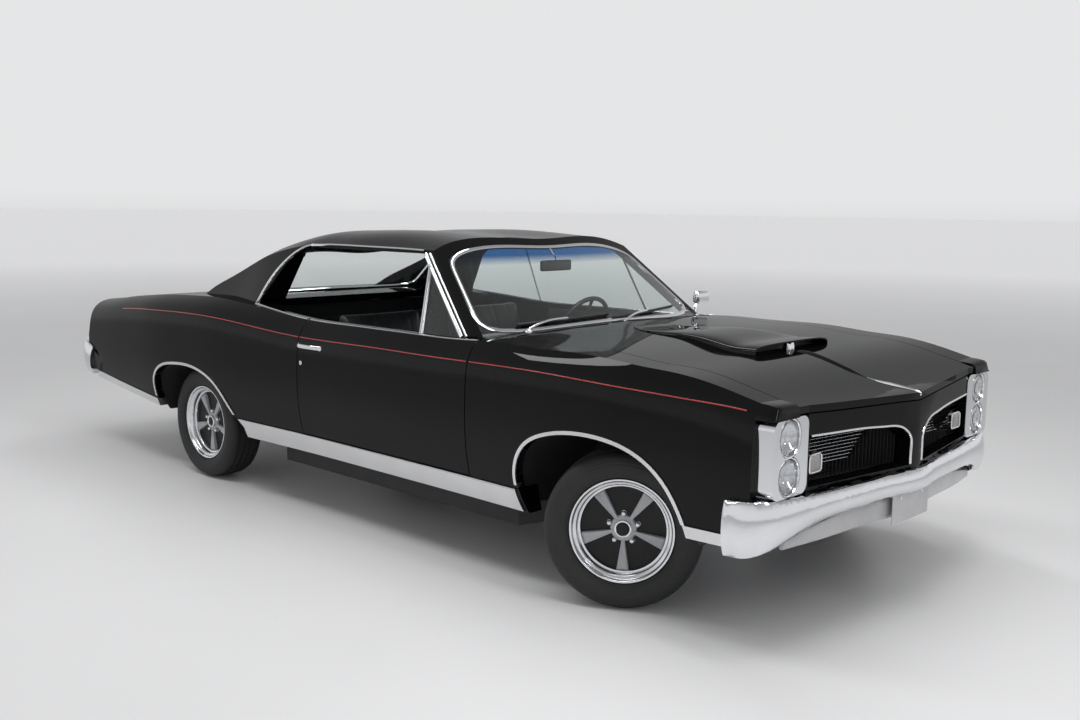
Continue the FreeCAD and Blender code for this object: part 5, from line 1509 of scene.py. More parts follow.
    def handle(self, side: Side) -> None:
        """The door handle with its button, and the lock below it.

        Args:
            side: Its side.
        """
        rear, front, z = self.handle_rear, self.handle_front, self.handle_height
        name, body = side.word, "door_" + side.word
        spots = []
        for i, lift in enumerate(self.handle_lifts):
            x = FRONT_AXLE + rear + (front - rear) * i / (len(self.handle_lifts) - 1)
            plain = (Vector((x, side.value * 0.9, z)), Vector((0, side.value, 0)))
            place, out = self.panels.beside(x, z, side) or plain
            spots.append((place + out * lift, out))
        steps = 4
        path = spline([place for place, _ in spots], steps)
        outs = [spots[min(i // steps, len(spots) - 1)][1] for i in range(len(path))]
        self.plated(Bench.sweep("handle_" + name, path, outs, self.handle_section), body)
        knobs = (("handle_rear", rear + 0.004, z, 0.013, 0.006),
                 ("handle_front", front - 0.004, z, 0.012, 0.005),
                 ("button", rear + 0.030, z, 0.0095, 0.020),
                 ("lock", self.lock[0], self.lock[1], 0.0105, 0.004))
        for part, x, height, radius, proud in knobs:
            place, out = self.panels.beside(FRONT_AXLE + x, height, side) or spots[0]
            profile = [(radius, -0.004), (radius, proud * 0.6), (radius * 0.85, proud * 0.9),
                       (radius * 0.5, proud), (0, proud)]
            turn = out.to_track_quat("Z", "Y").to_matrix().to_4x4()
            knob = Bench.lathe("%s_%s" % (part, name), profile, 32)
            self.plated(Bench.moved(knob, Matrix.Translation(place) @ turn), body)

    def sill(self, side: Side) -> None:
        """The thin bright line along the top of the sill moulding.

        Args:
            side: Its side.
        """
        start, steps = FRONT_AXLE + self.sill_front, 40
        spots = [self.panels.beside(start - self.sill_length * i / steps, self.sill_height, side)
                 for i in range(steps + 1)]
        spots = [spot for spot in spots if spot and abs(spot[0].y) > self.sill_least_out]
        self.lay("sill_line_" + side.word, spots, bead(0.006, 0.003))


@dataclass(frozen=True)
class FrontEnd(Fitted):
    """Grille bars, lamps, prow line, bumper, valance, plate, scoop and hood spear."""

    nose_tip: float = FRONT_AXLE + 0.822
    nose_corner: float = FRONT_AXLE + 0.727
    lamp_in: float = 0.650
    divider: float = 0.046
    outer: float = 0.640
    grille_base: float = 0.572
    grille_top: float = 0.752
    grille_x: float = FRONT_AXLE + 0.668
    opening_shares: Line = ((0.0, 0.58), (0.124, 0.854), (0.46, 0.958), (1.0, 1.0))
    edge_shares: Line = (
        (0.0, 0.02), (0.0, 0.30), (0.004, 0.56), (0.045, 0.72), (0.124, 0.854), (0.27, 0.915),
        (0.46, 0.958), (0.73, 0.982), (0.992, 1.0),
    )
    edge_section: Line = (
        (-0.0042, -0.006), (-0.0046, 0.002), (-0.0026, 0.0046), (0.0018, 0.005), (0.0044, 0.0026),
        (0.0046, -0.006),
    )
    bars: int = 9
    bar_height: float = 0.738
    bar_inner: float = 0.150
    bar_pitch: float = 0.0125
    bar_section: Line = ((-0.012, -0.0012), (0.0, -0.001), (0.0015, 0.0), (0.0, 0.001), (-0.012, 0.0012))
    uprights: int = 27
    upright_in: float = 0.060
    upright_pitch: float = 0.0215
    levels: int = 7
    level_span: Flat = (0.052, 0.638)
    park_place: Flat = (0.575, 0.645)
    park_half: Flat = (0.040, 0.032)
    park_corner: float = 0.014
    park_section: Line = (
        (-0.0035, -0.030), (-0.004, 0.0035), (0.0, 0.006), (0.004, 0.0035), (0.0035, -0.030),
    )
    park_rings: Line = (
        (-0.020, 0.90), (-0.006, 0.94), (0.0005, 0.90), (0.004, 0.70), (0.0055, 0.35), (0.0058, 0.02),
    )
    lamp_out: float = 0.765
    lamp_heights: Flat = (0.762, 0.629)
    lamp_face: float = FRONT_AXLE + 0.730
    lamp_ring: Line = (
        (0.069, -0.03), (0.069, -0.004), (0.0672, 0.0), (0.064, -0.001), (0.0618, -0.006), (0.061, -0.012),
        (0.061, -0.03),
    )
    lamp_bowl: Line = (
        (0.06, -0.015), (0.056, -0.023), (0.047, -0.033), (0.034, -0.042), (0.018, -0.048), (0.008, -0.05),
        (0.0, -0.05),
    )
    lamp_lens: Line = (
        (0.0606, -0.016), (0.06, -0.0125), (0.056, -0.0085), (0.044, -0.0035), (0.026, 0.0002),
        (0.01, 0.0012), (0.0, 0.0012), (0.0, -0.0028), (0.026, -0.004), (0.044, -0.0075), (0.058, -0.014),
    )
    plate_x: float = 2.570
    bolt_out: float = 0.089
    bolt_height: float = 0.449
    bolt: Line = ((0.007, -0.002), (0.007, 0.003), (0.005, 0.0045), (0, 0.0048))
    fender_end: float = 2.4265
    brow_across: Row = (0.718, 0.740, 0.770, 0.800, 0.826, 0.846, 0.862, 0.872)
    brow_base: float = 0.8275
    brow_rows: Rows = (
        (-0.006, 0.0012, 0.0), (0.016, 0.001, 0.0), (0.040, 0.001, 0.0), (0.058, 0.003, 0.01),
        (0.068, 0.009, 0.03), (0.073, 0.022, 0.06),
    )
    spear_rows: Rows = (
        (0.600, 0.002, 0.001), (0.640, 0.005, 0.004), (0.690, 0.0075, 0.008), (0.740, 0.0085, 0.010),
        (0.785, 0.0085, 0.011), (0.812, 0.0075, 0.010), (0.824, 0.004, 0.006),
    )
    spear_straight: int = 12
    ridge_length: float = 0.367
    scoop_front: float = FRONT_AXLE + 0.268
    scoop_length: float = 0.730
    scoop_half: float = 0.285
    scoop_rise: float = 0.041
    divider_rows: Rows = (
        (0.000, 0.006, 0.014), (0.006, 0.016, 0.030), (0.020, 0.023, 0.035), (0.060, 0.026, 0.035),
        (0.140, 0.026, 0.030),
    )

    def build(self) -> None:
        """Make everything ahead of the front wheels, and what stands on the hood."""
        self.grille()
        for side in Side:
            self.opening_line(side)
            self.parking_lamp(side)
            for number, height in enumerate(self.lamp_heights):
                self.headlamp(side, number, height)
        self.bumpers()
        self.front_plate()
        for side in Side:
            self.brow(side)
        self.spear()
        self.ridge()
        self.scoop()
        self.scoop_divider()

    def nose_x(self, y: float) -> float:
        """The nose's face at a place across the car."""
        return self.nose_tip - (self.nose_tip - self.nose_corner) * min(abs(y) / self.lamp_in, 1.0)

    def opening_top(self, y: float) -> float:
        """The height of a grille opening's upper edge.

        Args:
            y: The place across the car.

        Returns:
            The height there.
        """
        width, height = self.outer - self.divider, self.grille_top - self.grille_base
        share = min(1.0, max(0.0, (abs(y) - self.divider) / width))
        for (low, low_up), (high, high_up) in zip(self.opening_shares, self.opening_shares[1:]):
            if share <= high:
                up = low_up + (high_up - low_up) * (share - low) / (high - low)
                return self.grille_base + height * up
        return self.grille_top

    def grille(self) -> None:
        """Bright bars over a dark mesh, on each side of the divider."""
        bars = [self.bar(side, number) for side in Side for number in range(self.bars)]
        dress(Bench.join("grille_bars", bars), "root")
        slats = [slat for side in Side for slat in self.slats(side)]
        dress(Bench.join("grille_mesh", slats), "root", self.finishes.satin_black)

    def bar(self, side: Side, number: int) -> Piece:
        """One bright bar, set back towards the divider.

        Args:
            side: Its side.
            number: The bar's place from the top.

        Returns:
            The bar.
        """
        height = self.bar_height - self.bar_pitch * number
        inner, outer = self.bar_inner + 0.016 * number, self.outer - 0.004
        rings = []
        steps = 8
        for step in range(steps + 1):
            y = inner + (outer - inner) * step / steps
            fade = min(1.0, step / 2)
            x = self.nose_x(y) - 0.040 - 0.020 * (1 - fade)
            z = min(height, self.opening_top(y) - 0.004)
            rings.append([Vector((x + ahead, side.value * y, z + up)) for ahead, up in self.bar_section])
        bar = Bench.rows("bar", rings, True)
        bar.data.materials.append(self.finishes.chrome)
        return bar

    def slats(self, side: Side) -> List[Piece]:
        """The upright and level slats of the dark mesh.

        Args:
            side: Its side.

        Returns:
            The slats.
        """
        slats = []
        back, front = self.grille_x + 0.001, self.grille_x + 0.026
        for i in range(self.uprights):
            y = self.upright_in + self.upright_pitch * i
            low, high = sorted((side.value * y, side.value * (y + 0.0022)))
            slats.append(Bench.box("slat", (back, low, self.grille_base + 0.001),
                                   (self.nose_x(y) - 0.056, high, self.opening_top(y) - 0.003), 0.0006, 1))
        low, high = sorted(side.value * y for y in self.level_span)
        for i in range(self.levels):
            z = self.grille_base + 0.010 + self.bar_pitch * i
            slats.append(Bench.box("slat", (back, low, z), (front, high, z + 0.002), 0.0006, 1))
        return slats

    def opening_line(self, side: Side) -> None:
        """The chrome line round the upper and inner edge of a grille opening.

        Args:
            side: Its side.
        """
        width, height = self.outer - self.divider, self.grille_top - self.grille_base
        corners = [(self.divider + out * width, self.grille_base + up * height)
                   for out, up in self.edge_shares]
        path = [Vector((self.nose_x(y) + 0.001, side.value * y, z)) for y, z in flat_line(corners, 5)]
        outs = [Vector((1, 0, 0))] * len(path)
        self.plated(Bench.sweep("opening_line_" + side.word, path, outs, self.edge_section))

    def parking_lamp(self, side: Side) -> None:
        """A lens in a bright rounded frame, at the outer end of the grille.

        Args:
            side: Its side.
        """
        out, height = self.park_place
        centre = Vector((self.nose_x(out) - 0.022, side.value * out, height))
        (half_y, half_z), corner = self.park_half, self.park_corner
        loop = []
        for turn, (y, z) in enumerate(((1, 1), (-1, 1), (-1, -1), (1, -1))):
            for step in range(6):
                angle = math.radians(90 * turn + 90 * step / 5)
                loop.append(Vector((0, y * (half_y - corner) + corner * math.cos(angle),
                                    z * (half_z - corner) + corner * math.sin(angle))))
        path = [centre + point for point in loop]
        outs = [Vector((1, 0, 0))] * len(path)
        self.plated(Bench.sweep("park_rim_" + side.word, path, outs, self.park_section, True))
        rings = [[centre + Vector((depth, point.y * share, point.z * share)) for point in loop]
                 for depth, share in self.park_rings]
        lens = Bench.smooth(Bench.rows("park_lens_" + side.word, rings, True), 50.0)
        dress(lens, "root", self.finishes.park_lens)

    def headlamp(self, side: Side, number: int, height: float) -> None:
        """A sealed lamp: bright retaining ring, bowl and fluted lens.

        Args:
            side: Its side.
            number: The lamp's number from the top.
            height: The height of its middle.
        """
        place = Matrix.Translation((self.lamp_face, side.value * self.lamp_out, height))
        turn = place @ Matrix.Rotation(math.radians(90), 4, "Y")
        tag = "%s_%d" % (side.word, number)
        parts = (("lamp_ring_", self.lamp_ring, self.finishes.chrome, "chrome", ()),
                 ("lamp_bowl_", self.lamp_bowl, self.finishes.chrome, "chrome", ()),
                 ("lamp_lens_", self.lamp_lens, self.finishes.lamp_glass, "lamp_lens", ("headlamps",)))
        for name, profile, finish, slot, nodes in parts:
            piece = Bench.smooth(Bench.lathe(name + tag, profile, 64), 40.0)
            dress(Bench.moved(piece, turn), "root", finish, nodes)

    def bumpers(self) -> None:
        """Both bumpers and the valance with even shading."""
        silver = self.finishes.valance_silver
        for node, slot, finish in (("front_bumper", "chrome", self.finishes.chrome),
                                   ("rear_bumper", "chrome", self.finishes.chrome),
                                   ("front_valance", "valance_silver", silver)):
            piece = Bench.smooth(node_copy(node, "smooth_" + node), 38.0)
            Bench.modify(piece, "WEIGHTED_NORMAL", keep_sharp=True)
            dress(piece, "root", finish, [node])

    def front_plate(self) -> None:
        """A blank plate before the valance, with its bolts."""
        self.plate("front_plate", self.plate_x)
        for number, y in enumerate((-self.bolt_out, self.bolt_out)):
            bolt = Bench.lathe("plate_bolt_%d" % number, self.bolt, 24)
            place = Matrix.Translation((self.plate_x + self.plate_wall, y, self.bolt_height))
            self.plated(Bench.moved(bolt, place @ Matrix.Rotation(math.radians(90), 4, "Y")))

    def brow(self, side: Side) -> None:
        """The fender's front end, drawn forward over the headlamps.

        Args:
            side: Its side.
        """
        across, base = self.brow_across, self.brow_base
        tops = [self.panels.top(self.fender_end - 0.012, side.value * y, 0.88) for y in across]
        rings = []
        for along, drop, tuck in self.brow_rows:
            x = self.fender_end + along
            line = []
            for y, top in zip(across, tops):
                inward = across[0] + (y - across[0]) * (1 - tuck)
                z = max(top - drop - 0.10 * max(along, 0), base + 0.004)
                line.append(Vector((x, side.value * inward, z)))
            rings.append(line + [Vector((x, line[-1].y, base)), Vector((x, line[0].y, base))])
        piece = Bench.outward(Bench.rows("brow_" + side.word, rings, True))
        dress(Bench.smooth(piece, 50.0), "root", self.finishes.black)

    def spear(self) -> None:
        """The curved bright blade on the hood's tip."""
        shape = spline([Vector(row) for row in self.spear_rows], 5)
        last = self.nose_tip - 0.030
        heights = [self.panels.top(min(FRONT_AXLE + spot.x, last), 0.0, 0.83) for spot in shape]
        held = self.spear_straight
        slope = (heights[held] - heights[0]) / (shape[held].x - shape[0].x)
        rings = []
        for number, (spot, height) in enumerate(zip(shape, heights)):
            half, rise = spot.y, spot.z
            z = height if number <= held else heights[held] + slope * (spot.x - shape[held].x)
            section = ((-half, -0.006), (-half * 0.7, rise * 0.7), (0, rise), (half * 0.7, rise * 0.7),
                       (half, -0.006))
            rings.append([Vector((FRONT_AXLE + spot.x, y, z + up)) for y, up in section])
        blade = Bench.smooth(Bench.rows("hood_spear", rings, True), 50.0)
        dress(blade, "hood", self.finishes.chrome)

    def ridge(self) -> None:
        """The painted ridge on the hood, behind the blade."""
        rings = []
        last = 23
        for i in range(last + 1):
            x = self.scoop_front - 0.020 + self.ridge_length * i / last
            fade = min(1.0, i / 4, (last - i) / 6 + 0.1)
            half, rise = 0.040 - 0.022 * i / last, 0.0075 * fade
            line = []
            for step in range(13):
                across = step / 6 - 1
                swell = math.cos(math.pi * across / 2) ** 2
                z = self.panels.top(x, half * across, BELT)
                line.append(Vector((x, half * across, z - 0.001 + rise * swell)))
            foot = [Vector((x, half, line[-1].z - 0.003)), Vector((x, -half, line[0].z - 0.003))]
            rings.append(line + foot)
        ridge = Bench.smooth(Bench.rows("hood_ridge", rings, True), 40.0)
        dress(ridge, "hood", self.finishes.black)

    def scoop(self) -> None:
        """The hood scoop's skin with its dark throat."""
        rows, mouth, throat_rows = 26, 2, 5
        outer, throat = [], []
        for i in range(rows + 1):
            back = i / rows
            x = self.scoop_front - self.scoop_length * back
            half = self.scoop_half * (1 - 0.56 * (back ** 1.15))
            rise = max(self.scoop_rise * (1 - back) ** 0.9 * (1 + 0.25 * back), 0.0035)
            if i < mouth:
                rise *= 0.93 + 0.07 * i / mouth
                half *= 0.985 + 0.015 * i / mouth
            outer.append(self.scoop_line(x, half, rise))
            if i < throat_rows:
                throat.append((x, half - 0.016, rise - 0.009))
        skin = Bench.rows("scoop_skin", outer, False)
        Bench.modify(skin, "SOLIDIFY", thickness=0.0055, offset=-1.0)
        dress(Bench.smooth(skin, 40.0), "hood", self.finishes.black, ["hood_scoop"])
        base = []
        for x, half, rise in throat:
            line = self.scoop_line(x - 0.004, half, rise)
            fall = line[-1].z - line[0].z
            low = [Vector((spot.x, spot.y, line[0].z + 0.0015 + fall * i / (len(line) - 1)))
                   for i, spot in enumerate(line)]
            base.append(line + low[::-1])
        plug = Bench.rows("scoop_throat", base[mouth:], True)
        dress(Bench.smooth(plug, 40.0), "hood", self.finishes.satin_black)

    def scoop_divider(self) -> None:
        """The bright divider between the scoop's two mouths."""
        ground = self.panels.top(self.scoop_front, 0.0, 0.99)
        rings = []
        for back, half, rise in self.divider_rows:
            flank = [(half, -0.004), (half * 0.95, rise * 0.8), (half * 0.5, rise)]
            section = [(-y, up) for y, up in flank] + flank[::-1]
            x = self.scoop_front + 0.004 - back
            rings.append([Vector((x, y, ground + up)) for y, up in section])
        divider = Bench.smooth(Bench.rows("scoop_divider", rings, True), 40.0)
        dress(divider, "hood", self.finishes.chrome)

    def scoop_line(self, x: float, half: float, rise: float) -> List[Vector]:
        """One line over the scoop, from foot to foot, standing on the hood's skin.

        Args:
            x: How far forward the line is.
            half: Half its width.
            rise: Its height over the hood.

        Returns:
            The line's points.
        """
        line = []
        steps = 28
        for i in range(steps + 1):
            angle = math.pi * i / steps
            across = math.cos(angle)
            y = half * math.copysign(abs(across) ** 0.55, across) if across else 0.0
            up = math.sin(angle) ** 0.42
            line.append(Vector((x, y, self.panels.top(x, y, BELT) + 0.0005 + rise * up)))
        return line


@dataclass(frozen=True)
class Glazing(Fitted):
    """Windows with even faces, and the bright reveals round the screens.

    An opening's size is its half width, its half height and the height of its middle.
    """

    panes: Tuple[str, ...] = ("windshield", "backlight", "door_glass_left", "door_glass_right",
                              "quarter_glass_left")
    pane_limit: float = 0.045
    screen_size: Point = (0.70, 0.18, 1.15)
    screen_frame: float = 0.020
    back_size: Point = (0.59, 0.13, 1.14)
    back_frame: float = 0.014
    turns: int = 72
    hole_depth: float = 0.008

    def build(self) -> None:
        """Shade the panes and frame both screens."""
        for node in self.panes:
            pane = self.panels.shell.polish(node_copy(node, "pane_" + node), self.pane_limit, True)
            finish = self.finishes.screen if node == "windshield" else self.finishes.glass
            dress(pane, body_of_node(node), finish, [node])
        self.reveal("windshield_reveal", self.screen_place, Shell.screen_out, self.screen_size,
                    self.screen_frame)
        self.reveal("backlight_reveal", self.back_place, lambda place: Shell.BACK_OUT, self.back_size,
                    self.back_frame)

    @staticmethod
    def screen_place(y: float, z: float) -> Vector:
        """The windshield's outer face at a place across and a height."""
        return Vector((Glazing.screen_x(y, z), y, z))

    @staticmethod
    def back_place(y: float, z: float) -> Vector:
        """The rear window's outer face at a place across and a height."""
        return Vector((behind(2.850) - 0.030 + (z - 0.990) * 0.350 / 0.300, y, z))

    @staticmethod
    def screen_x(y: float, z: float) -> float:
        """How far forward the windshield's outer face is at a place across and a height."""
        foot = behind(0.778) + SCREEN_SHEET * math.hypot(1.0, SCREEN_LEAN)
        return foot - (z - 0.985) * SCREEN_LEAN - SCREEN_BOW_SLOPE / 2 * y ** 2

    def reveal(self, name: str, at: Callable[[float, float], Vector], out_at: Callable[[Vector], Vector],
               size: Point, width: float) -> None:
        """A bright frame along the edge of the opening in the body that a screen fills.

        Args:
            name: Its name.
            at: The screen's outer face at a place across and a height.
            out_at: The direction out of the screen at a place.
            size: The opening's size.
            width: The frame's width.
        """
        half_y, half_z, middle = size
        above = 0.2
        spots = []
        for i in range(self.turns):
            angle = TAU * i / self.turns
            way_y, way_z = math.cos(angle) * half_y, math.sin(angle) * half_z
            near, step = 0.3, 0.02
            while step > 0.0005 and near < 1.8:
                place = at(way_y * (near + step), middle + way_z * (near + step))
                out = out_at(place)
                hit = self.panels.tree.ray_cast(place + out * above, -out)
                if hit[0] is not None and hit[3] < above + self.hole_depth:
                    step /= 2
                else:
                    near += step
            inwards = Vector((0, way_y, way_z)).normalized() * 0.004
            spots.append(at(way_y * near, middle + way_z * near) - inwards)
        for _ in range(3):
            spots = [(spots[i - 1] + spots[i] * 2 + spots[(i + 1) % self.turns]) / 4
                     for i in range(self.turns)]
        outs = [out_at(place) for place in spots]
        self.plated(Bench.sweep(name, spots, outs, bead(width, 0.006, 0.008), True))


@dataclass(frozen=True)
class Cabin:
    """Padded seats, door cards, gauges and the inside mirror.

    A seat's outline is (ahead of its hip, height), seen from its side.
    """

    finishes: Finishes
    seat_y: float = 0.370
    seat_half: float = 0.270
    hip: float = behind(1.790)
    cushion: Line = ((0.010, 0.320), (0.490, 0.330), (0.488, 0.525), (0.420, 0.548), (0.010, 0.524))
    back: Line = (
        (-0.100, 0.340), (-0.012, 0.545), (-0.125, 0.930), (-0.140, 0.970), (-0.185, 0.968),
        (-0.200, 0.900),
    )
    rear_half: float = 0.535
    rear_hip: float = behind(2.480)
    rear_cushion: Line = ((0.045, 0.400), (0.390, 0.330), (0.388, 0.500), (0.330, 0.524), (0.060, 0.510))
    rear_back: Line = ((-0.120, 0.580), (0.022, 0.545), (-0.060, 0.860), (-0.085, 0.888), (-0.165, 0.888))
    voxel: float = 0.010
    seam_pitch: float = 0.052
    seam_depth: float = 0.004
    seam_share: float = 0.78
    card_y: float = 0.7849
    dash_x: float = 0.5929
    gauge_height: float = 0.815
    dials: Line = ((0.250, 0.042), (0.370, 0.050), (0.490, 0.042), (-0.420, 0.030))

    def build(self) -> None:
        """Make what is inside the cabin."""
        seats = [self.pad(name, [(self.hip + ahead, z) for ahead, z in outline],
                          self.seat_y - self.seat_half + inset, self.seat_y + self.seat_half - inset)
                 for name, outline, inset in (("cushion", self.cushion, 0.012), ("back", self.back, 0.014))]
        for piece in seats:
            twin = Bench.mirrored(piece, piece.name + "_right")
            piece.name += "_left"
            for one in (piece, twin):
                dress(one, "root", self.finishes.vinyl, ["front_seats"])
        rears = [self.pad(name, [(self.rear_hip + ahead, z) for ahead, z in outline],
                          -self.rear_half, self.rear_half)
                 for name, outline in (("rear_cushion", self.rear_cushion), ("rear_back", self.rear_back))]
        for piece in rears:
            dress(piece, "root", self.finishes.vinyl, ["rear_seat"])
        for side in Side:
            self.door_card(side)
        self.gauges()
        self.mirror()
        wall = Bench.box("seat_bulkhead", (-0.926, -0.640, 0.560), (-0.918, 0.640, 0.950), 0.002, 1)
        dress(wall, "root", self.finishes.satin_black)

    def pad(self, name: str, outline: Sequence[Flat], low: float, high: float) -> Piece:
        """A stuffed cushion with sewn channels, from its side view.

        Args:
            name: Its name.
            outline: Its side view as (x, z).
            low: Its right side.
            high: Its left side.

        Returns:
            The swollen piece.
        """
        piece = Bench.rows(name, [[Vector((x, y, z)) for x, z in outline] for y in (low, high)], True)
        Bench.modify(piece, "BEVEL", width=0.028, segments=4, limit_method="ANGLE")
        Bench.modify(piece, "REMESH", mode="VOXEL", voxel_size=self.voxel)
        self.swell(piece)
        middle = (low + high) / 2
        wide = (high - low) / 2
        for vertex in piece.data.vertices:
            across = (vertex.co.y - middle) / wide
            if abs(across) < self.seam_share:
                groove = max(0.0, 1 - abs(math.sin(math.pi * vertex.co.y / self.seam_pitch)) * 5)
                edge = min(1.0, (self.seam_share - abs(across)) * 12)
                vertex.co -= vertex.normal * self.seam_depth * groove * edge
        Bench.modify(piece, "SUBSURF", levels=1, render_levels=1)
        return Bench.smooth(piece, 60.0)

    @staticmethod
    def swell(piece: Piece, cap: float = 0.010) -> None:
        """Blow a pad up as cloth.

        Args:
            piece: The pad.
            cap: How far a point may move.
        """
        frames = 20
        start = [vertex.co.copy() for vertex in piece.data.vertices]
        Bench.take(piece)
        modifier = piece.modifiers.new("cloth", "CLOTH")
        modifier.settings.use_pressure = True
        modifier.settings.uniform_pressure_force = 4.0
        modifier.settings.effector_weights.gravity = 0.0
        scene = bpy.context.scene
        for step in range(1, frames + 1):
            scene.frame_set(step)
        bpy.ops.object.modifier_apply(modifier=modifier.name)
        scene.frame_set(1)
        for vertex, before in zip(piece.data.vertices, start):
            shift = vertex.co - before
            if shift.length > cap:
                vertex.co = before + shift.normalized() * cap

    def door_card(self, side: Side) -> None:
        """The inner skin of a door with its armrest, strip and crank.

        Args:
            side: Its side.
        """
        look = self.finishes
        slabs = (
            ("door_card_", -0.070, 1.020, 0.003, -0.004, 0.430, 0.930, 0.003, look.vinyl, "seat_vinyl"),
            ("armrest_", 0.080, 0.420, 0.048, 0.0, 0.610, 0.660, 0.016, look.vinyl, "seat_vinyl"),
            ("card_strip_", -0.060, 1.010, 0.0048, 0.0, 0.700, 0.712, 0.0015, look.bright, "bright_trim"),
            ("crank_", 0.500, 0.600, 0.026, 0.018, 0.560, 0.574, 0.003, look.chrome, "chrome"),
            ("crank_hub_", 0.585, 0.612, 0.020, 0.0, 0.554, 0.580, 0.005, look.chrome, "chrome"),
        )
        for name, rear, front, near, far, base, top, bevel, finish, slot in slabs:
            low, high = sorted(side.value * (self.card_y - inwards) for inwards in (near, far))
            slab = Bench.box(name + side.word, (rear, low, base), (front, high, top), bevel)
            dress(Bench.smooth(slab, 40.0), "door_" + side.word, finish)

    def gauges(self) -> None:
        """Bright rings with dark dials in the dash, before the driver."""
        for number, (y, radius) in enumerate(self.dials):
            section = [(radius, -0.006), (radius, 0.004), (radius * 0.94, 0.007), (radius * 0.86, 0.003),
                       (radius * 0.84, 0.0), (0.0, 0.0)]
            ring = Bench.lathe("gauge_%d" % number, section, 48)
            place = Matrix.Translation((self.dash_x, y, self.gauge_height))
            turn = place @ Matrix.Rotation(math.radians(-90), 4, "Y")
            dress(Bench.smooth(Bench.moved(ring, turn), 40.0), "root", self.finishes.bright)
            face = [(radius * 0.85, 0.0), (radius * 0.85, 0.0012), (0.0, 0.0012)]
            dial = Bench.lathe("dial_%d" % number, face, 48)
            dress(Bench.moved(dial, turn), "root", self.finishes.plastic)

    def mirror(self) -> None:
        """The inside mirror on its stem."""
        head = Bench.box("inside_mirror", (0.700, -0.105, 1.206), (0.722, 0.105, 1.258), 0.010, 4)
        dress(Bench.smooth(head, 50.0), "root", self.finishes.plastic)
        path = [Vector((0.712, 0, 1.236)), Vector((0.700, 0, 1.275)), Vector((0.668, 0, 1.312))]
        square = [(-0.005, -0.005), (-0.005, 0.005), (0.005, 0.005), (0.005, -0.005)]
        stem = Bench.sweep("mirror_stem", path, [Vector((0, 1, 0))] * len(path), square)
        dress(stem, "root", self.finishes.chrome)


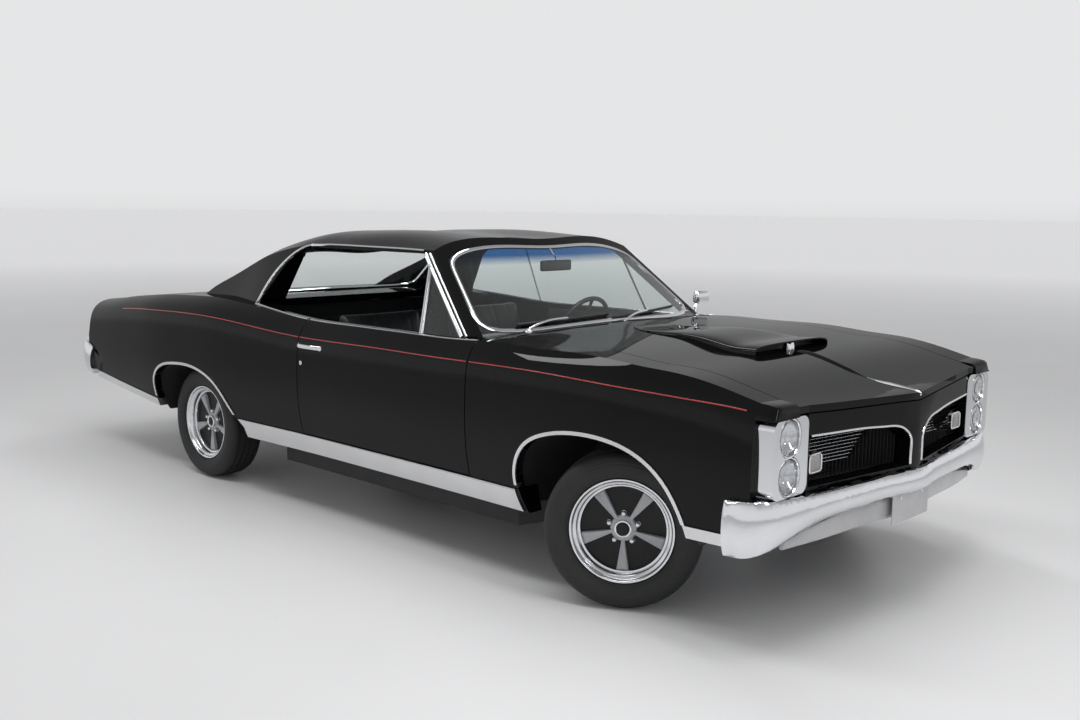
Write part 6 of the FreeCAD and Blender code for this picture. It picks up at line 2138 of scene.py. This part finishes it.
@dataclass(frozen=True)
class Fittings(Fitted):
    """Wipers, cowl slots, door mirror and the tail's bright work.

    A wiper's span is its start, its end and its pivot across the car.
    """

    wipers: Rows = ((-0.560, 0.010, -0.545), (0.020, 0.575, 0.040))
    wiper_foot: float = 0.999
    wiper_rise: float = 0.016
    blade: Line = (
        (-0.002, -0.009), (-0.005, 0.0), (-0.004, 0.006), (0.004, 0.006), (0.005, 0.0), (0.002, -0.009),
    )
    pivot: Line = ((0.014, -0.020), (0.014, 0.004), (0.010, 0.010), (0, 0.012))
    slots: int = 26
    slot_first: float = -0.530
    slot_pitch: float = 0.0424
    mirror_place: Flat = (0.930, 0.850)
    tail_x: float = behind(4.235)
    tail_frame: Line = (
        (0.316, 0.698), (0.316, 0.812), (0.490, 0.813), (0.667, 0.812), (0.667, 0.698), (0.490, 0.697),
    )
    rear_plate_x: float = -2.602
    corner_heights: Flat = (0.470, 0.900)
    corner_in: float = 0.689
    corner_depths: Flat = (0.003, 0.015)

    def build(self) -> None:
        """Make every fitting."""
        for number, span in enumerate(self.wipers):
            self.wiper(number, span)
        self.cowl_slots()
        self.door_mirror()
        self.tail()

    def wiper(self, number: int, span: Point) -> None:
        """A wiper at rest along the foot of the windshield.

        Args:
            number: Its number from the right.
            span: Its span.
        """
        start, end, pivot_y = span
        steps = 8
        path = []
        for i in range(steps + 1):
            y = start + (end - start) * i / steps
            place = Glazing.screen_place(y, self.wiper_foot + self.wiper_rise * i / steps)
            path.append(place + Shell.screen_out(Vector((0, y, 0))) * 0.010)
        outs = [Shell.screen_out(place) for place in path]
        blade = Bench.sweep("wiper_blade_%d" % number, path, outs, self.blade)
        dress(blade, "root", self.finishes.plastic)
        foot = Vector((Glazing.screen_x(pivot_y, 0.99) + 0.050, pivot_y, 0.982))
        elbow = foot.lerp(path[3], 0.4) + Vector((0.010, 0, 0.018))
        arm_path = spline([foot + Vector((0, 0, 0.010)), elbow, path[4] + outs[4] * 0.009], 5)
        arm = Bench.sweep("wiper_arm_%d" % number, arm_path, [outs[4]] * len(arm_path),
                          bead(0.010, 0.004, 0.003))
        dress(Bench.smooth(arm, 50.0), "root", self.finishes.bright)
        pivot = Bench.smooth(Bench.lathe("wiper_pivot_%d" % number, self.pivot, 24), 50.0)
        dress(Bench.moved(pivot, Matrix.Translation(foot)), "root", self.finishes.bright)

    def cowl_slots(self) -> None:
        """The row of air slots in the cowl, as dull black blocks laid on it: painted shade where the openings
        are dark.
        """
        slots = []
        for i in range(self.slots):
            y = self.slot_first + self.slot_pitch * i
            x = 1.070 - 0.05 * (abs(y) / 0.55) ** 2
            spot = self.panels.above(x, y)
            if spot:
                z = spot[0].z
                # painted shade: a satin black block stands where the slot's opening is dark inside
                slots.append(Bench.box("slot", (x - 0.030, y - 0.010, z - 0.004),
                                       (x + 0.020, y + 0.010, z + 0.0006), 0.0003, 1))
        dress(Bench.join("cowl_slots", slots), "root", self.finishes.satin_black)

    def door_mirror(self) -> None:
        """The round-cornered chrome mirror on the left door."""
        x, y = self.mirror_place
        foot = Vector((x, y, self.panels.top(x, y, BELT)))
        base, top = foot.z + 0.055, foot.z + 0.125
        head = Bench.box("door_mirror", (0.902, 0.852, base), (0.952, 0.962, top), 0.022, 5)
        self.plated(head, "door_left")
        path = spline([foot - Vector((0, 0, 0.004)), foot + Vector((0, 0.010, 0.030)),
                       Vector((0.926, 0.880, foot.z + 0.066))], 5)
        stem = Bench.sweep("mirror_arm", path, [Vector((1, 0, 0))] * len(path), bead(0.020, 0.008, 0.008))
        self.plated(stem, "door_left")

    def tail_face(self, z: float) -> float:
        """How far forward the tail panel's face is at a height."""
        return self.tail_x + 0.105 * max((z / BELT - 0.72) / 0.38, 0.0)

    def tail(self) -> None:
        """Bright frames round the tail lamps, the rear plate and its hanger."""
        out = Vector((-1, 0, 0.3)).normalized()
        for side in Side:
            path = [Vector((self.tail_face(z) - 0.001, side.value * y, z)) for y, z in self.tail_frame]
            self.plated(Bench.sweep("tail_frame_" + side.word, path, [out] * len(path),
                                    bead(0.007, 0.005), True))
            self.corner(side)
        self.plate("rear_plate", self.rear_plate_x)
        hanger = Bench.box("plate_hanger", (-2.599, -0.100, 0.420), (-2.590, 0.100, 0.500), 0.002, 2)
        dress(hanger, "root", self.finishes.chassis)

    def corner(self, side: Side) -> None:
        """The painted end of a quarter, out from the tail panel's edge.

        Args:
            side: Its side.
        """
        low, high = self.corner_heights
        near, far = self.corner_depths
        levels = 12
        rings = []
        for level in range(levels + 1):
            z = low + (high - low) * level / levels
            x = self.tail_face(z)
            spot = self.panels.beside(x + 0.020, z, side)
            outer = abs(spot[0].y) - 0.004 if spot else 0.86
            section = ((near, self.corner_in), (near, outer), (far, outer), (far, self.corner_in))
            rings.append([Vector((x + depth, side.value * y, z)) for depth, y in section])
        end = Bench.outward(Bench.rows("tail_corner_" + side.word, rings, True))
        dress(Bench.smooth(end, 40.0), "root", self.finishes.black)


@dataclass(frozen=True)
class Studio:
    """The camera at the photograph's angle, the floor and soft lights."""

    eye: Point = (4.3978, -3.9783, 1.5165)
    yaw: float = 133.26
    pitch: float = -7.88
    roll: float = 0.71
    lens: float = 37.24
    shift: Flat = (-5.9 / 1080, 0.9 / 1080)
    floor_size: float = 400.0
    glow_from: float = 4.0
    glow_to: float = 24.0
    glow: Colour = (0.30, 0.30, 0.305)
    sky: Line = (
        (0.0, 0.62), (0.48, 0.66), (0.505, 0.80), (0.60, 0.80), (0.70, 0.55), (0.86, 0.34), (1.0, 0.30),
    )
    lamps: Tuple[Tuple[Point, Flat, float], ...] = (
        ((0.5, 0.8, 4.6), (7.0, 0.5), 95.0),
        ((0.5, -2.2, 4.6), (7.0, 0.5), 95.0),
        ((4.4, -1.0, 4.2), (0.6, 5.0), 60.0),
    )

    def build(self) -> None:
        """Place everything that isn't the car."""
        self.camera()
        self.floor()
        self.world()
        self.lights()
        bpy.context.scene.view_settings.view_transform = "Standard"

    def camera(self) -> None:
        """The camera, from its yaw, pitch and roll."""
        yaw, pitch, roll = (math.radians(angle) for angle in (self.yaw, self.pitch, self.roll))
        ahead = Vector((math.cos(yaw) * math.cos(pitch), math.sin(yaw) * math.cos(pitch), math.sin(pitch)))
        level = Vector((math.sin(yaw), -math.cos(yaw), 0))
        above = level.cross(ahead)
        right = level * math.cos(roll) + above * math.sin(roll)
        up = above * math.cos(roll) - level * math.sin(roll)
        matrix = Matrix((right, up, -ahead)).transposed().to_4x4()
        matrix.translation = Vector(self.eye)
        data = bpy.data.cameras.new("camera")
        data.sensor_width = 36.0
        data.lens = self.lens
        data.shift_x, data.shift_y = self.shift
        camera = bpy.data.objects.new("camera", data)
        bpy.context.scene.collection.objects.link(camera)
        camera.matrix_world = matrix
        bpy.context.scene.camera = camera

    def floor(self) -> None:
        """A plain pale floor that glows far off, for the camera and for what mirrors or shows it."""
        Bench.clear()
        bpy.ops.mesh.primitive_plane_add(size=self.floor_size)
        floor = bpy.context.object
        floor.name = "floor"
        nodes = Nodes("pale_floor").set(Roughness=0.42, Specular_IOR_Level=0.35)
        pale = nodes.ramp(nodes.noise(0.6, 4.0), [(0.3, (0.76, 0.76, 0.765)), (0.7, (0.79, 0.79, 0.795))])
        nodes.link(pale, "Base Color")
        far = nodes.add("ShaderNodeVectorMath", {0: nodes.place}, operation="LENGTH").outputs["Value"]
        spread = nodes.add("ShaderNodeMapRange", {"Value": far, "From Min": self.glow_from,
                                                  "From Max": self.glow_to}).outputs["Result"]
        nodes.link(nodes.ramp(spread, [(0.0, (0.0, 0.0, 0.0)), (1.0, self.glow)]), "Emission Color")
        rays = nodes.add("ShaderNodeLightPath").outputs
        seen = rays["Is Camera Ray"]
        for other in ("Is Glossy Ray", "Is Transmission Ray"):
            either = nodes.add("ShaderNodeMath", {0: seen, 1: rays[other]}, operation="MAXIMUM")
            seen = either.outputs["Value"]
        nodes.link(seen, "Emission Strength")
        floor.data.materials.append(nodes.material)

    def world(self) -> None:
        """A pale world, brightest at the horizon."""
        world = bpy.data.worlds.new("studio")
        bpy.context.scene.world = world
        world.use_nodes = True
        tree = world.node_tree
        background = tree.nodes["Background"]
        where, split, spread, ramp = (tree.nodes.new("ShaderNode" + kind)
                                      for kind in ("TexCoord", "SeparateXYZ", "MapRange", "ValToRGB"))
        spread.inputs["From Min"].default_value = -1.0
        tree.links.new(where.outputs["Generated"], split.inputs["Vector"])
        tree.links.new(split.outputs["Z"], spread.inputs["Value"])
        tree.links.new(spread.outputs["Result"], ramp.inputs["Fac"])
        elements = ramp.color_ramp.elements
        while len(elements) < len(self.sky):
            elements.new(0.5)
        for element, (at, level) in zip(elements, self.sky):
            element.position = at
            element.color = (level * 0.985, level * 0.99, level, 1.0)
        tree.links.new(ramp.outputs["Color"], background.inputs["Color"])
        background.inputs["Strength"].default_value = 1.0

    def lights(self) -> None:
        """Long soft lamps overhead, each turned to the car's middle."""
        for number, (place, size, power) in enumerate(self.lamps):
            data = bpy.data.lights.new("lamp_%d" % number, "AREA")
            data.shape = "RECTANGLE"
            data.size, data.size_y = size
            data.energy = power
            lamp = bpy.data.objects.new("lamp_%d" % number, data)
            bpy.context.scene.collection.objects.link(lamp)
            lamp.location = place
            target = Vector((place[0] * 0.4, place[1] * 0.3, 0.4))
            lamp.rotation_euler = (target - Vector(place)).to_track_quat("-Z", "Y").to_euler()


def base_finishes(finishes: Finishes) -> None:
    """Give every CAD node that stays its material.

    Args:
        finishes: The car's finishes.
    """
    table = {
        "paint": finishes.black, "glass": finishes.glass, "bright_trim": finishes.bright,
        "chrome": finishes.chrome, "valance_silver": finishes.valance_silver,
        "grille_metal": finishes.satin_black, "lamp_lens": finishes.lamp_glass,
        "tail_lens": finishes.red_lens, "tyre": finishes.rubber, "wheel_silver": finishes.silver,
        "chassis_black": finishes.chassis, "engine_iron": finishes.iron, "exhaust_steel": finishes.steel,
        "seat_vinyl": finishes.vinyl, "dash_plastic": finishes.plastic,
    }
    slots = {part["node"]: part["material_slot"] for part in frame["record"]["subparts"]}
    own = {"windshield": finishes.screen, "floor_pan": finishes.carpet, "firewall": finishes.satin_black}
    for name, piece in frame["nodes"].items():
        piece.data.materials.clear()
        piece.data.materials.append(own.get(name, table[slots[name]]))


def main() -> None:
    """Build the scene piece by piece."""
    logging.basicConfig(level=logging.INFO)
    Studio().build()
    finishes = Finishes()
    base_finishes(finishes)
    shell = Shell()
    BodyWork(finishes, shell).build()
    panels = Panels(shell)
    Wheels(finishes).build()
    BrightTrim(finishes, panels).build()
    FrontEnd(finishes, panels).build()
    Glazing(finishes, panels).build()
    Fittings(finishes, panels).build()
    Cabin(finishes).build()


if __name__ == "__main__":
    main()
